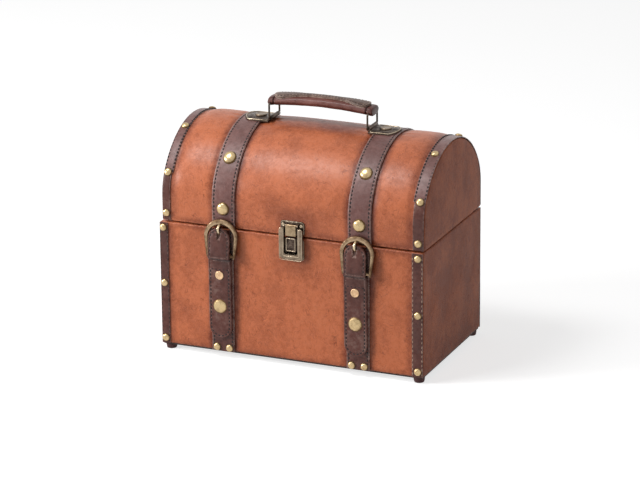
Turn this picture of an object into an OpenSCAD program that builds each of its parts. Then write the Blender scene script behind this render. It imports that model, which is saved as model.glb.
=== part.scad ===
// A small domed storage trunk: leather-covered board box, arched lid, decorative straps
// with buckles, a spring latch, two back hinges and a drop handle on wire rings.
// Millimetres, +Z up, feet on z = 0, front towards -Y.

/* [Body] */
// Width of the box over its leather
body_w = 285; // [260:1:330]
// Depth of the box over its leather
body_d = 160; // [150:1:190]
// Height from the underside of the box to its rim
body_h = 131; // [126:1:160]
// Thickness of the wall boards
board_t = 8; // [7.5:0.5:10]
// Thickness of the floor board
floor_t = 6; // [5:0.5:9]
// Thickness of the leather covering
leather_t = 1.2; // [0.8:0.1:1.6]
// Thickness of the board under the box
under_t = 1.5; // [1:0.1:2.5]
// Thickness of the cloth lining of the box
lining_t = 1; // [0.6:0.1:1.8]
// Height of the feet
foot_h = 5.5; // [3:0.5:8]
// Diameter of the feet
foot_d = 11.5; // [9:0.5:13]
// Distance from a foot's middle to the box's faces
foot_in = 7; // [7:0.5:20]

/* [Lip that locates the lid] */
// Thickness of the lip boards
lip_t = 2; // [1.5:0.1:3]
// Height of the lip above the rim
lip_up = 5; // [3:0.5:8]
// Depth that the lip reaches below the rim
lip_down = 20; // [12:1:40]
// Gap between the lip and the lid
lip_gap = 0.8; // [0.5:0.1:1.2]

/* [Lid] */
// Gap between the rim and the lid
seam = 2; // [1.5:0.1:3]
// Height of the lid at its ends
lid_h = 90.5; // [84:0.5:105]
// Rise of the lid's curve above its straight wall, at its ends
arch_rise = 65.5; // [60:0.5:70]
// Radius of the lid's shoulders
shoulder_r = 50; // [42:1:55]
// How much higher the padded middle stands than the ends
crown = 2; // [0.5:0.1:4]
// Length over which the crown falls to each end
crown_run = 30; // [20:1:45]
// How far the lid's left end is in from the box's
lid_inset = 3; // [1:0.25:3.5]
// How far the lid's front is back from the box's
lid_set_back = 1.5; // [0.5:0.25:2.5]
// Thickness of the bent board over the lid
skin_t = 2; // [1.5:0.1:3]
// Least thickness of the padding under the leather
pad_t = 0.4; // [0.3:0.1:0.8]
// Thickness of the lid's padded lining
lid_lining_t = 1.2; // [0.8:0.1:2]

/* [Straps and edge strips] */
// Width of the straps
strap_w = 25; // [22:0.5:26]
// Thickness of the straps
strap_t = 2; // [1.5:0.1:2.5]
// Distance between the middles of the two straps
strap_span = 147; // [130:1:170]
// Width of the corner strips on the box
strip_w = 12; // [11:0.5:16]
// Width of the stitched strips over the lid's ends
arch_w = 13; // [12:0.5:18]
// Width of the plain strips on the lid's lower corners
lid_strip_w = 11.5; // [11:0.5:14]
// Thickness of the corner strips
strip_t = 1; // [0.8:0.1:1.6]
// Angle up the shoulder where the plain strip meets the stitched one
strip_meet = 24; // [18:1:28]

/* [Nails, studs and caps] */
// Diameter of the small domed nails
nail_d = 8.25; // [7:0.25:9.5]
// Height of the nails' heads
nail_h = 2.6; // [2:0.1:3.2]
// Diameter of the nails' shanks
shank_d = 1.6; // [1.2:0.1:2]
// Length of the nails' shanks
shank_l = 7; // [5:0.5:8]
// Diameter of the large domed studs on the lid straps
stud_d = 13.8; // [12:0.2:15]
// Height of the studs' heads
stud_h = 3.8; // [3:0.1:4.5]
// Height of the lower studs above the lid's edge
stud_up = 19.3; // [16:0.5:22]
// Angle of the upper studs from the top of the dome
stud_angle = 47; // [40:1:52]
// Diameter of the flat rivet in each buckle strap
rivet_d = 9; // [7:0.25:10]
// Diameter of the snap cap in each buckle strap
cap_d = 15; // [12:0.25:17]
// Height of the snap cap
cap_h = 1.6; // [1.2:0.1:2.2]
// Distance between the two nails at the foot of a strap
foot_nail_gap = 13.6; // [12:0.2:15]

/* [Buckles] */
// Depth of the buckle bar's axis below the rim
bar_drop = 26.5; // [24:0.5:30]
// Width of the buckle
buckle_w = 36.6; // [34.6:0.2:38]
// Height of the buckle above its bar
buckle_h = 37.5; // [36.5:0.5:41]
// Thickness of the buckle frame
buckle_t = 3.2; // [3.1:0.1:3.5]
// How far the buckle sits right of the strap's middle
buckle_off = 0.6; // [0:0.1:0.8]
// Diameter of the buckle bar
bar_d = 3; // [2.6:0.1:3.2]
// Running clearance of a pivot, on the radius
run_gap = 0.05; // [0.03:0.01:0.09]
// Gap between a buckle strap's low end and the nails below it
billet_clear = 6.75; // [4:0.25:12]
// Thickness of a buckle strap, which is folded double
billet_t = 3.5; // [2.5:0.1:4]
// How far a buckle strap sits left of the strap's middle
billet_off = 1.3; // [0:0.1:1.8]
// Distance of the flat rivet below the bar
rivet_drop = 21; // [18:0.5:25]
// Distance of the snap cap below the bar
cap_drop = 54; // [45:1:60]
// Width of the tab inside the buckle
tab_w = 23.5; // [21:0.5:24]
// Thickness of the tab
tab_t = 2.2; // [1.8:0.1:2.4]
// Height of the tab above the bar
tab_h = 29.5; // [28:0.5:30.5]
// Width of the prong
prong_w = 2.6; // [2:0.1:3]
// Thickness of the prong
prong_t = 2; // [1.6:0.1:2.1]

/* [Latch] */
// How far the latch is right of the middle of the box
latch_x = 3; // [-6:0.5:8]
// Width of the latch plates
latch_w = 25.8; // [24:0.2:28]
// Thickness of the latch plate on the lid
latch_t = 1; // [0.8:0.1:1.2]
// Height of the plate on the lid
latch_up = 15; // [13:0.5:17]
// Distance of the lock case's lower end below the rim
case_drop = 21.8; // [20:0.2:24]
// Height of the lock case's arms above the rim
case_rise = 11; // [9:0.5:12]
// Width of the raised lock case
case_w = 24.4; // [23:0.2:25.5]
// Width of the arms of the lock case
case_arm = 4.85; // [4:0.05:5]
// Height of the raised lock case
case_t = 4; // [3.8:0.1:5]
// Width of the hasp and of the button
hasp_w = 11; // [10:0.25:11.25]
// Travel of the button
button_run = 2.5; // [1.5:0.25:2.5]

/* [Handle] */
// How far the handle is right of the middle of the box
handle_x = 3; // [-4:0.5:5]
// Distance between the two rings
ring_span = 106.6; // [96:0.5:112]
// Width of a ring between its wire's middles
ring_w = 25.6; // [24:0.2:30]
// Height of a ring between its wire's middles
ring_h = 15.5; // [14:0.5:22]
// Diameter of the ring wire
wire_d = 2; // [1.6:0.1:2.4]
// Width of the handle
grip_w = 20.5; // [17:0.5:21.5]
// Height of the handle
grip_h = 9.6; // [8:0.1:10.2]
// Rise of the handle's middle
grip_arch = 3.4; // [1:0.2:6]
// Length of the handle beyond each ring
grip_over = 3.5; // [3:0.5:7]
// Thickness of the strap sewn on the handle
overlay_t = 1.6; // [1.2:0.1:2.2]
// Width of the handle plates
plate_w = 30; // [26:0.5:34]
// Thickness of the handle plates
plate_t = 1.3; // [1:0.1:1.8]
// Length of a handle plate beyond its ring
plate_len = 30.5; // [27:0.5:34]
// Diameter of the rivet in each handle plate
plate_rivet_d = 11.5; // [9:0.5:13]

/* [Hinges] */
// Gap between a hinge and the strap beside it
hinge_gap = 6; // [4:0.5:15]
// Length of a hinge
hinge_w = 30; // [25:1:34]
// Height of a hinge leaf
leaf_h = 16; // [14:0.5:20]
// Thickness of a hinge leaf
leaf_t = 1; // [0.8:0.1:1.3]
// Diameter of the hinge pins
pin_d = 2.4; // [2:0.1:2.6]
// Diameter of the hinge screws' heads
screw_d = 4.6; // [4:0.2:5.4]

/* [Hidden] */

tan_leather = [0.72, 0.40, 0.28];
brown_leather = [0.38, 0.27, 0.25];
board_brown = [0.60, 0.47, 0.33];
dark_board = [0.16, 0.11, 0.09];
cloth_beige = [0.74, 0.66, 0.54];
foam_white = [0.86, 0.85, 0.80];
old_brass = [0.66, 0.58, 0.40];
dark_bronze = [0.42, 0.38, 0.32];
pale_steel = [0.75, 0.75, 0.76];

half_w = body_w / 2;
half_d = body_d / 2;
base_z = foot_h + under_t;
rim_z = foot_h + body_h;
board_top = rim_z - leather_t;
floor_z = base_z + floor_t;
in_x = half_w - leather_t - board_t;
in_y = half_d - leather_t - board_t;

lid_x = lid_inset / 2;
lid_half = half_w - lid_inset / 2;
lid_y = lid_set_back / 2;
lid_a = half_d - lid_set_back / 2;
lid_z = rim_z + seam;
lid_board_z = lid_z + leather_t;
end_top = lid_z + lid_h;
shoulder_z = end_top - arch_rise;
mid_top = end_top + crown;
skin_d = leather_t + pad_t;
rail_t = board_t - lid_set_back - pad_t - lip_gap;
end_t = board_t - lid_inset - lip_gap;
rail_in = skin_d + rail_t;
lid_in_x = lid_half - leather_t - end_t;

strap_x = strap_span / 2;
front_y = -half_d;
strap_y = front_y - strap_t;
billet_y = strap_y - billet_t;
bar_z = rim_z - bar_drop;
billet_low = base_z + nail_d + billet_clear;
loop_r = bar_d / 2 + strap_t * 0.85;
bar_y = strap_y - loop_r - 0.1;
pivot_hole = bar_d / 2 + run_gap;

// Both the buckle and the tab lean in at their tops, and the tab's low end stands out furthest
buckle_lean = -3.5;
tab_lean = -5.2;
tab_low = 3.4;
tab_y = -loop_r - 0.3 - tab_t / 2;

// The box, with everything that stands out of its faces, is centred on y = 0
front_out = tab_t / 2 * cos(tab_lean) - tab_low * sin(tab_lean) - tab_y - bar_y;
back_out = half_d + strap_t + stud_h;
centre_y = (front_out - back_out) / 2;

overlap = 0.01;
joint_gap = 0.2;
layer_gap = 0.12;
round_steps = 48;
$fn = round_steps;

module placed() translate([0, centre_y, 0]) children();

// An outline in Y and Z, drawn out along X
module along_x(x0, x1) translate([x0, 0, 0]) rotate([90, 0, 90]) linear_extrude(x1 - x0) children();

// An outline in X and Z, drawn out along Y
module along_y(y0, y1) translate([0, y1, 0]) rotate([90, 0, 0]) linear_extrude(y1 - y0) children();

module block(lo, hi) translate(lo) cube(hi - lo);

function reversed(l) = [for (i = [len(l) - 1 : -1 : 0]) l[i]];
function arc(c, r, from, to, n) =
  [for (i = [0 : n]) let (a = from + (to - from) * i / n) [c.x + r * cos(a), c.y + r * sin(a)]];

// The lid's outline is a basket-handle arch: two shoulder arcs and a wide top arc
function arch_r(top) =
  let (w = lid_a - shoulder_r, rise = top - shoulder_z)
  (w * w + rise * rise - shoulder_r * shoulder_r) / (2 * (rise - shoulder_r));
function arch_z(top) = top - arch_r(top);
function arch_half(top) = atan2(lid_a - shoulder_r, shoulder_z - arch_z(top));
shoulder_steps = 7;
arch_steps = 22;
// Points over the lid from front to back, d inside its surface, from an angle up the shoulders
function arch_line(d, top, up = 0) =
  let (w = lid_a - shoulder_r, h = arch_half(top), r = arch_r(top), zc = arch_z(top))
  let (front = arc([lid_y - w, shoulder_z], shoulder_r - d, 180 - up, 90 + h, shoulder_steps))
  let (over = arc([lid_y, zc], r - d, 90 + h, 90 - h, arch_steps))
  let (back = arc([lid_y + w, shoulder_z], shoulder_r - d, 90 - h, up, shoulder_steps))
  concat(
    front,
    [for (i = [1 : arch_steps]) over[i]],
    [for (i = [1 : shoulder_steps]) back[i]]
  );
// A closed band over the lid between two depths, with straight walls down to z
function arch_band(d0, d1, top0, top1, z) = concat(
  [[lid_y - lid_a + d0, z]], arch_line(d0, top0), [[lid_y + lid_a - d0, z]],
  [[lid_y + lid_a - d1, z]], reversed(arch_line(d1, top1)), [[lid_y - lid_a + d1, z]]
);

// How high the lid's leather stands at a place along its length, from the lid's own middle
function top_at(x) =
  let (t = max(0, (abs(x) - (lid_half - crown_run)) / crown_run)) end_top + crown * (1 - t * t);
crown_steps = 3;
function crown_stations() = concat(
  [for (i = [0 : crown_steps]) -lid_half + crown_run * i / crown_steps],
  [for (i = [crown_steps : -1 : 0]) lid_half - crown_run * i / crown_steps]
);

function at_x(x, outline) = [for (p = outline) [x, p.x, p.y]];

// The two sides of a bent line of points, closed into an outline of an even thickness
function unit(v) = v / norm(v);
function line_side(p, i, d) =
  let (u = unit(i > 0 ? p[i] - p[i - 1] : p[1] - p[0]))
  let (m = unit(u + (i < len(p) - 1 ? unit(p[i + 1] - p[i]) : u)))
  p[i] + [-m.y, m.x] * d / (m * u);
function thick_line(p, t) = concat(
  [for (i = [0 : len(p) - 1]) line_side(p, i, t / 2)],
  [for (i = [len(p) - 1 : -1 : 0]) line_side(p, i, -t / 2)]
);

// A closed skin through rings of points; a thin ring is two lines of points, out and back
function thin_cap(n) = [for (i = [0 : n / 2 - 2])
  each [[i, i + 1, n - 2 - i], [i, n - 2 - i, n - 1 - i]]];
module loft(rings, thin = false) {
  n = len(rings[0]);
  m = len(rings);
  sides = [for (i = [0 : m - 2], j = [0 : n - 1])
    let (a = i * n + j, b = i * n + (j + 1) % n, c = b + n, d = a + n) each [[a, b, c], [a, c, d]]];
  cap = thin ? thin_cap(n) : [[for (j = [0 : n - 1]) j]];
  first = [for (f = cap) reversed(f)];
  last = [for (f = cap) [for (j = f) (m - 1) * n + j]];
  polyhedron(points = [for (r = rings) each r], faces = concat(sides, first, last), convexity = 6);
}

module rod(p, q, r) {
  v = q - p;
  l = norm(v);
  translate(p) rotate([0, acos(v.z / l), atan2(v.y, v.x)]) cylinder(h = l, r = r);
}

module round_rect(x0, x1, z0, z1, r) {
  translate([x0 + r, z0]) square([x1 - x0 - 2 * r, z1 - z0]);
  translate([x0, z0 + r]) square([x1 - x0, z1 - z0 - 2 * r]);
  for (x = [x0 + r, x1 - r], z = [z0 + r, z1 - r]) translate([x, z]) circle(r);
}

// A domed head on +Z with its shank below
module nail(d, h, shank = shank_d, length = shank_l) {
  ball = (h * h + d * d / 4) / (2 * h);
  intersection() {
    translate([0, 0, h - ball]) sphere(ball, $fn = 3 * round_steps);
    cylinder(d = d, h = h);
  }
  translate([0, 0, -length]) cylinder(d = shank, h = length + h / 4);
}

module at_front(x, y, z) translate([x, y, z]) rotate([90, 0, 0]) children();
module at_back(x, y, z) translate([x, y, z]) rotate([-90, 0, 0]) children();
// On the lid's shoulder or top arc, s = -1 at the front and 1 at the back
module at_shoulder(x, s, up, lift) {
  r = shoulder_r + lift;
  w = lid_a - shoulder_r;
  translate([x, lid_y + s * (w + r * cos(up)), shoulder_z + r * sin(up)])
    rotate([-s * (90 - up), 0, 0]) children();
}
module at_arch(x, s, angle, lift, top) {
  r = arch_r(top) + lift;
  translate([x, lid_y + s * r * sin(angle), arch_z(top) + r * cos(angle)])
    rotate([-s * angle, 0, 0]) children();
}

// Boards of the box
module base_board() color(board_brown) placed() block([-in_x, -in_y, base_z], [in_x, in_y, floor_z]);

module long_board(s) {
  y = s * (half_d - leather_t);
  block([-half_w + leather_t, min(y, s * in_y), base_z], [half_w - leather_t, max(y, s * in_y), board_top]);
}
module front_board() color(board_brown) placed() long_board(-1);
module back_board() color(board_brown) placed() long_board(1);

module end_board(s) {
  x = s * (half_w - leather_t);
  block([min(x, s * in_x), -in_y, base_z], [max(x, s * in_x), in_y, board_top]);
}
module left_board() color(board_brown) placed() end_board(-1);
module right_board() color(board_brown) placed() end_board(1);

module under_board() color(dark_board) placed()
  block(
    [-half_w + leather_t, -half_d + leather_t, foot_h],
    [half_w - leather_t, half_d - leather_t, base_z]
  );

// Leather on the box, folded over the rim
module folded_leather(face, inner) polygon([
  [face, base_z], [face, rim_z], [inner, rim_z], [inner, board_top],
  [face + sign(inner - face) * leather_t, board_top], [face + sign(inner - face) * leather_t, base_z]
]);
module body_leather_front() color(tan_leather) placed()
  along_x(-half_w, half_w) folded_leather(-half_d, -in_y);
module body_leather_back() color(tan_leather) placed()
  along_x(-half_w, half_w) folded_leather(half_d, in_y);
module body_leather_ends() color(tan_leather) placed() for (s = [-1, 1]) {
  x = s * half_w;
  x_in = s * (half_w - leather_t);
  block(
    [min(x, x_in), -half_d + leather_t, base_z],
    [max(x, x_in), half_d - leather_t, board_top]
  );
  block([min(x, s * in_x), -in_y, board_top], [max(x, s * in_x), in_y, rim_z]);
}

lip_z = rim_z - lip_down;
module body_lining() color(cloth_beige) placed() difference() {
  block([-in_x, -in_y, floor_z], [in_x, in_y, lip_z]);
  block(
    [-in_x + lining_t, -in_y + lining_t, floor_z + lining_t],
    [in_x - lining_t, in_y - lining_t, lip_z + 1]
  );
}

// Four boards glued round the inside of the rim
module inner_lip() color(dark_board) placed() for (s = [-1, 1]) {
  y = s * in_y;
  y_in = s * (in_y - lip_t);
  block([-in_x, min(y, y_in), lip_z], [in_x, max(y, y_in), rim_z + lip_up]);
  x = s * in_x;
  x_in = s * (in_x - lip_t);
  end = in_y - lip_t - joint_gap;
  block([min(x, x_in), -end, lip_z], [max(x, x_in), end, rim_z + lip_up]);
}

module feet() color(dark_board) placed() for (sx = [-1, 1], sy = [-1, 1])
  translate([sx * (half_w - foot_in), sy * (half_d - foot_in), 0])
    cylinder(d1 = foot_d - 1, d2 = foot_d, h = foot_h);

// Strips down the corners of the box; those on the left are narrower
strip_end = 0.5;
left_less = 2.8;
function strip_wide(sx, w) = sx < 0 ? w - left_less : w;
module corner_strip(sx, sy) {
  y = sy * half_d;
  y_out = sy * (half_d + strip_t);
  x = sx * half_w;
  x_in = sx * (half_w - strip_wide(sx, strip_w));
  block(
    [min(x, x_in), min(y, y_out), base_z],
    [max(x, x_in), max(y, y_out), rim_z - strip_end]
  );
}
module corner_strips() color(brown_leather) placed() for (sx = [-1, 1], sy = [-1, 1]) corner_strip(sx, sy);

// Heights of the corner nails, the lowest and highest the same distance in from the ends
nail_in = 5.6;
low_nail = base_z + nail_in + 0.4;
high_nail = rim_z - nail_in;
corner_nail_z = [low_nail, (low_nail + high_nail) / 2, high_nail];
function corner_nail_x(sx) = half_w - strip_wide(sx, strip_w) / 2 + (sx < 0 ? 0.2 : 0.5);
module corner_nails() color(old_brass) placed() for (sx = [-1, 1], z = corner_nail_z) {
  at_front(sx * corner_nail_x(sx), -half_d - strip_t, z) nail(nail_d, nail_h);
  at_back(sx * corner_nail_x(sx), half_d + strip_t, z) nail(nail_d, nail_h);
}

// Straps nailed up the front and back of the box
strap_top = rim_z - strip_end;
module body_straps() color(brown_leather) placed() for (s = [-1, 1], y = [strap_y, half_d])
  block([s * strap_x - strap_w / 2, y, base_z], [s * strap_x + strap_w / 2, y + strap_t, strap_top]);

module strap_nails() color(old_brass) placed() for (s = [-1, 1], t = [-1, 1]) {
  x = s * strap_x + t * foot_nail_gap / 2;
  at_front(x, strap_y, base_z + nail_d / 2) nail(nail_d, nail_h);
  at_back(x, half_d + strap_t, base_z + nail_d / 2) nail(nail_d, nail_h);
}

// The buckle strap is cut with two fingers that go round the buckle bar
prong_eye_w = 1.6;
side_gap = 0.4;
tab_loop_out = 6.4;
finger_in = tab_loop_out + side_gap;
finger_out = 10.4;
strap_shoulder = bar_z - 3.6;
module buckle_strap(s) translate([s * strap_x, 0, 0]) difference() {
  union() {
    translate([-billet_off, 0, 0]) along_y(billet_y, strap_y) {
      r = strap_w / 2 - 0.25;
      translate([0, billet_low + r]) circle(r);
      translate([-r, billet_low + r]) square([2 * r, strap_shoulder - billet_low - r]);
    }
    for (t = [-1, 1]) {
      x = t * (finger_in + finger_out) / 2;
      w = (finger_out - finger_in) / 2;
      block([x - w, billet_y, strap_shoulder - 1], [x + w, strap_y, bar_z]);
      rod([x - w, bar_y, bar_z], [x + w, bar_y, bar_z], loop_r);
    }
  }
  rod([-finger_out - 1, bar_y, bar_z], [finger_out + 1, bar_y, bar_z], pivot_hole);
}
module buckle_strap_left() color(brown_leather) placed() buckle_strap(-1);
module buckle_strap_right() color(brown_leather) placed() buckle_strap(1);

rivet_h = 1;
rivet_grip = strap_t + billet_t;
module strap_rivets() color(old_brass) placed() for (s = [-1, 1])
  at_front(s * strap_x - billet_off, billet_y, bar_z - rivet_drop) {
    cylinder(d = rivet_d, h = rivet_h);
    translate([0, 0, -rivet_grip]) cylinder(d = 2 * shank_d, h = rivet_grip);
  }
module snap_caps() color(old_brass) placed() for (s = [-1, 1])
  at_front(s * strap_x - billet_off, billet_y, bar_z - cap_drop) nail(cap_d, cap_h, 2 * shank_d, rivet_grip);

// Buckle: a D-shaped frame, wide at the top, with its bar cast in, and a prong in its notch
outer_r = buckle_w / 2;
ring_mid = buckle_h - outer_r;
foot_half = outer_r - 2.8;
side_bar = 2.6;
top_band = 5.4;
inner_top = buckle_h - top_band;
inner_rx = outer_r - 4.1;
inner_rz = 13.2;
frame_low = bar_d / 2;
notch_gap = 0.3;
notch_top = inner_top + 1.4;
module buckle_outline() difference() {
  polygon(concat(
    arc([0, ring_mid], outer_r, 180, 0, 32),
    [[foot_half, -frame_low], [-foot_half, -frame_low]]
  ));
  polygon(concat(
    [for (i = [0 : 32]) let (a = 180 - 180 * i / 32)
      [inner_rx * cos(a), inner_top - inner_rz + inner_rz * sin(a)]],
    [[foot_half - side_bar, -frame_low - 1], [-foot_half + side_bar, -frame_low - 1]]
  ));
  translate([-buckle_off - prong_w / 2 - notch_gap, inner_top - 2])
    square([prong_w + 2 * notch_gap, notch_top - inner_top + 2]);
}
module buckle_frame(s) translate([s * strap_x + buckle_off, bar_y, bar_z]) {
  rotate([buckle_lean, 0, 0]) along_y(-buckle_t / 2, buckle_t / 2) buckle_outline();
  rod([-foot_half + 1, 0, 0], [foot_half - 1, 0, 0], bar_d / 2);
}
module buckle_frame_left() color(old_brass) placed() buckle_frame(-1);
module buckle_frame_right() color(old_brass) placed() buckle_frame(1);

// The prong goes up behind the tab, out through its slot and into the frame's notch
slot_w = prong_w + 0.8;
slot_high = tab_h - 2.3;
slot_low = slot_high - 7.6;
prong_path = [
  [0, 2.2], [0.9, slot_low - 0.6], [-4.5, slot_high - 0.4], [-4.5, tab_h + 0.4], [0.2, inner_top + 0.8]
];
module buckle_prong(s) translate([s * strap_x, bar_y, bar_z]) difference() {
  union() {
    rod([-prong_eye_w, 0, 0], [prong_eye_w, 0, 0], bar_d / 2 + 1.3);
    along_x(-prong_w / 2, prong_w / 2) polygon(thick_line(prong_path, prong_t));
  }
  rod([-prong_eye_w - 1, 0, 0], [prong_eye_w + 1, 0, 0], pivot_hole);
}
module buckle_prong_left() color(old_brass) placed() buckle_prong(-1);
module buckle_prong_right() color(old_brass) placed() buckle_prong(1);

// The tab leans in at its top, loops round the bar between the fingers, and holds the prong
tab_loop_r = strap_y - bar_y - 0.3;
tab_link = 1.8;
module buckle_tab(s) translate([s * strap_x, bar_y, bar_z]) difference() {
  union() {
    translate([0, tab_y, 0]) rotate([tab_lean, 0, 0]) along_y(-tab_t / 2, tab_t / 2) difference() {
      union() {
        r = tab_w / 2;
        translate([0, tab_h - r]) circle(r);
        translate([-r, -tab_low]) square([2 * r, tab_h - r + tab_low]);
      }
      translate([-slot_w / 2, slot_low + slot_w / 2]) square([slot_w, slot_high - slot_low - slot_w]);
      for (z = [slot_low, slot_high - slot_w]) translate([0, z + slot_w / 2]) circle(slot_w / 2);
    }
    for (t = [-1, 1]) {
      inner = t * (prong_eye_w + side_gap);
      lo = min(inner, t * tab_loop_out);
      hi = max(inner, t * tab_loop_out);
      rod([lo, 0, 0], [hi, 0, 0], tab_loop_r);
      block([lo, tab_y, -tab_link], [hi, 0, tab_link]);
    }
  }
  rod([-tab_w, 0, 0], [tab_w, 0, 0], pivot_hole);
}
module buckle_tab_left() color(brown_leather) placed() buckle_tab(-1);
module buckle_tab_right() color(brown_leather) placed() buckle_tab(1);

// Lock case on the box: a plate with a raised U whose arms pass in front of the lid's plate
case_plate_t = 0.8;
case_y = front_y - case_plate_t;
case_front = case_y - case_t;
case_low = rim_z - case_drop;
case_floor = case_low + 5.2;
slot_half = case_w / 2 - case_arm;
lug_front = case_front + 1.75;
lug_low = case_floor + 4.2;
lug_high = lug_low + 1.6;
module lock_case() color(dark_bronze) placed() translate([latch_x, 0, 0]) {
  along_y(case_y, front_y) round_rect(-latch_w / 2, latch_w / 2, case_low - 1.2, rim_z - strip_end, 3);
  along_y(case_front, case_y) difference() {
    round_rect(-case_w / 2, case_w / 2, case_low, rim_z + case_rise, case_arm - 0.2);
    round_rect(-slot_half, slot_half, case_floor, rim_z + case_rise + 6, 2.2);
  }
  block([-1.4, lug_front, lug_low], [1.4, case_y, lug_high]);
}

// Button with a pocket for its spring, sliding between the arms
button_low = case_floor + button_run + 0.5;
button_high = rim_z + 1;
button_back = case_y - 0.15;
button_front = case_front + 0.5;
pocket_low = button_low + 0.8;
pocket_high = button_high - 1.5;
pocket_front = button_front + 0.9;
flange_t = 0.8;
module lock_button() color(dark_bronze) placed() translate([latch_x, 0, 0]) difference() {
  h = hasp_w / 2;
  union() {
    along_y(button_front, button_back) round_rect(-h, h, button_low, button_high, 1);
    block(
      [-slot_half + 0.2, button_back - flange_t, button_low + 1],
      [slot_half - 0.2, button_back, button_high - 1.2]
    );
  }
  block([-h + 1.1, button_front - 1, button_low + 1.3], [h - 1.1, button_front + 0.4, button_high - 1.3]);
  block([-2, pocket_front, pocket_low], [2, button_back + 1, pocket_high]);
}

spring_wire = 0.36;
spring_r = 0.85;
spring_turns = 6;
turn_steps = 12;
spring_y = (pocket_front + button_back) / 2;
function spring_ring(i) =
  let (t = 360 * i / turn_steps, z = lug_high + spring_wire / 2
    + (pocket_high - lug_high - spring_wire) * i / (spring_turns * turn_steps))
  [for (k = [0 : 5]) let (a = 60 * k, r = spring_r + spring_wire / 2 * cos(a))
    [latch_x + r * cos(t), spring_y + r * sin(t), z + spring_wire / 2 * sin(a)]];
module lock_spring() color(pale_steel) placed()
  loft([for (i = [0 : spring_turns * turn_steps]) spring_ring(i)]);

// Latch plate on the lid, with ears that hold the hasp's pin
lid_front = lid_y - lid_a;
plate_y = lid_front - latch_t;
latch_top = lid_z + latch_up;
hasp_r = 1.7;
hasp_y = plate_y - hasp_r - 0.2;
hasp_z = latch_top - 4.6;
ear_in = hasp_w / 2 + 0.25;
ear_out = min(hasp_w / 2 + 1.4, slot_half - 0.3);
hasp_low = button_high + 0.3 + 1.6;
hasp_pin_r = 0.8;
module latch_plate() color(dark_bronze) placed() translate([latch_x, 0, 0])
  along_y(plate_y, lid_front) round_rect(-latch_w / 2, latch_w / 2, lid_z + 1, latch_top, 3);

module hasp_pin() color(dark_bronze) placed() translate([latch_x, 0, 0]) {
  for (s = [-1, 1]) {
    lo = min(s * ear_in, s * ear_out);
    hi = max(s * ear_in, s * ear_out);
    block([lo, hasp_y, hasp_z - hasp_r], [hi, plate_y, hasp_z + hasp_r]);
    rod([lo, hasp_y, hasp_z], [hi, hasp_y, hasp_z], hasp_r);
  }
  rod([-ear_in - overlap, hasp_y, hasp_z], [ear_in + overlap, hasp_y, hasp_z], hasp_pin_r);
}
latch_nail_d = 3.2;
module latch_nails() color(old_brass) placed() for (s = [-1, 1])
  at_front(latch_x + s * (latch_w / 2 - 3.1), plate_y, latch_top - 4.2) nail(latch_nail_d, 0.9, 1.2, 4);

hasp_front = case_front + 0.3;
hasp_back = hasp_y + 0.5;
module hasp() color(dark_bronze) placed() translate([latch_x, 0, 0]) difference() {
  h = hasp_w / 2;
  union() {
    rod([-h, hasp_y, hasp_z], [h, hasp_y, hasp_z], hasp_r);
    along_y(hasp_front, hasp_back) round_rect(-h, h, hasp_low, hasp_z + 0.8, 0.7);
  }
  rod([-h - 1, hasp_y, hasp_z], [h + 1, hasp_y, hasp_z], hasp_pin_r + run_gap);
}

// Hinges across the seam at the back, with five knuckles each
knuckle_r = pin_d / 2 + leaf_t + 0.1;
hinge_y = half_d + knuckle_r + 0.1;
hinge_z = rim_z + seam / 2;
knuckle_w = hinge_w / 5;
knuckle_gap = 0.15;
cut_back = knuckle_r + 0.4;
module knuckle(i) {
  x = -hinge_w / 2 + i * knuckle_w;
  rod([x + knuckle_gap, hinge_y, hinge_z], [x + knuckle_w - knuckle_gap, hinge_y, hinge_z], knuckle_r);
}
// One leaf: s = -1 hangs down the box, s = 1 goes up the lid; mine are its knuckles
module hinge_leaf(s, mine, others) difference() {
  union() {
    block(
      [-hinge_w / 2, half_d, s < 0 ? hinge_z - leaf_h - seam : hinge_z],
      [hinge_w / 2, half_d + leaf_t, s < 0 ? hinge_z : hinge_z + leaf_h + seam]
    );
    for (i = mine) knuckle(i);
  }
  for (i = others)
    translate([-hinge_w / 2 + i * knuckle_w - knuckle_gap, half_d - 1, hinge_z - cut_back])
      cube([knuckle_w + 2 * knuckle_gap, leaf_t + 2 * knuckle_r, 2 * cut_back]);
  rod([-hinge_w, hinge_y, hinge_z], [hinge_w, hinge_y, hinge_z], pin_d / 2 + run_gap);
}
hinge_span = strap_span - strap_w - hinge_w - 2 * hinge_gap;
module at_hinges() for (s = [-1, 1]) translate([s * hinge_span / 2, 0, 0]) children();
module hinge_leaves_body() color(dark_bronze) placed() at_hinges() hinge_leaf(-1, [0, 2, 4], [1, 3]);
module hinge_leaves_lid() color(dark_bronze) placed() at_hinges() hinge_leaf(1, [1, 3], [0, 2, 4]);
module hinge_pins() color(pale_steel) placed() at_hinges() {
  rod([-hinge_w / 2 - 0.4, hinge_y, hinge_z], [hinge_w / 2 + 0.4, hinge_y, hinge_z], pin_d / 2);
  for (s = [-1, 1])
    translate([s * (hinge_w / 2 + 0.6), hinge_y, hinge_z]) rotate([0, 90, 0])
      cylinder(d = pin_d + 1.2, h = 0.8, center = true);
}
screw_x = hinge_w / 3.4;
screw_up = leaf_h * 0.62 + seam;
screw_h = 1.1;
screw_shank = 2;
screw_l = 7;
lid_screw_l = 5;
module hinge_screws_body() color(old_brass) placed() at_hinges() for (s = [-1, 1])
  at_back(s * screw_x, half_d + leaf_t, hinge_z - screw_up) nail(screw_d, screw_h, screw_shank, screw_l);
module hinge_screws_lid() color(old_brass) placed() at_hinges() for (s = [-1, 1])
  at_back(s * screw_x, half_d + leaf_t, hinge_z + screw_up) nail(screw_d, screw_h, screw_shank, lid_screw_l);

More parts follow.
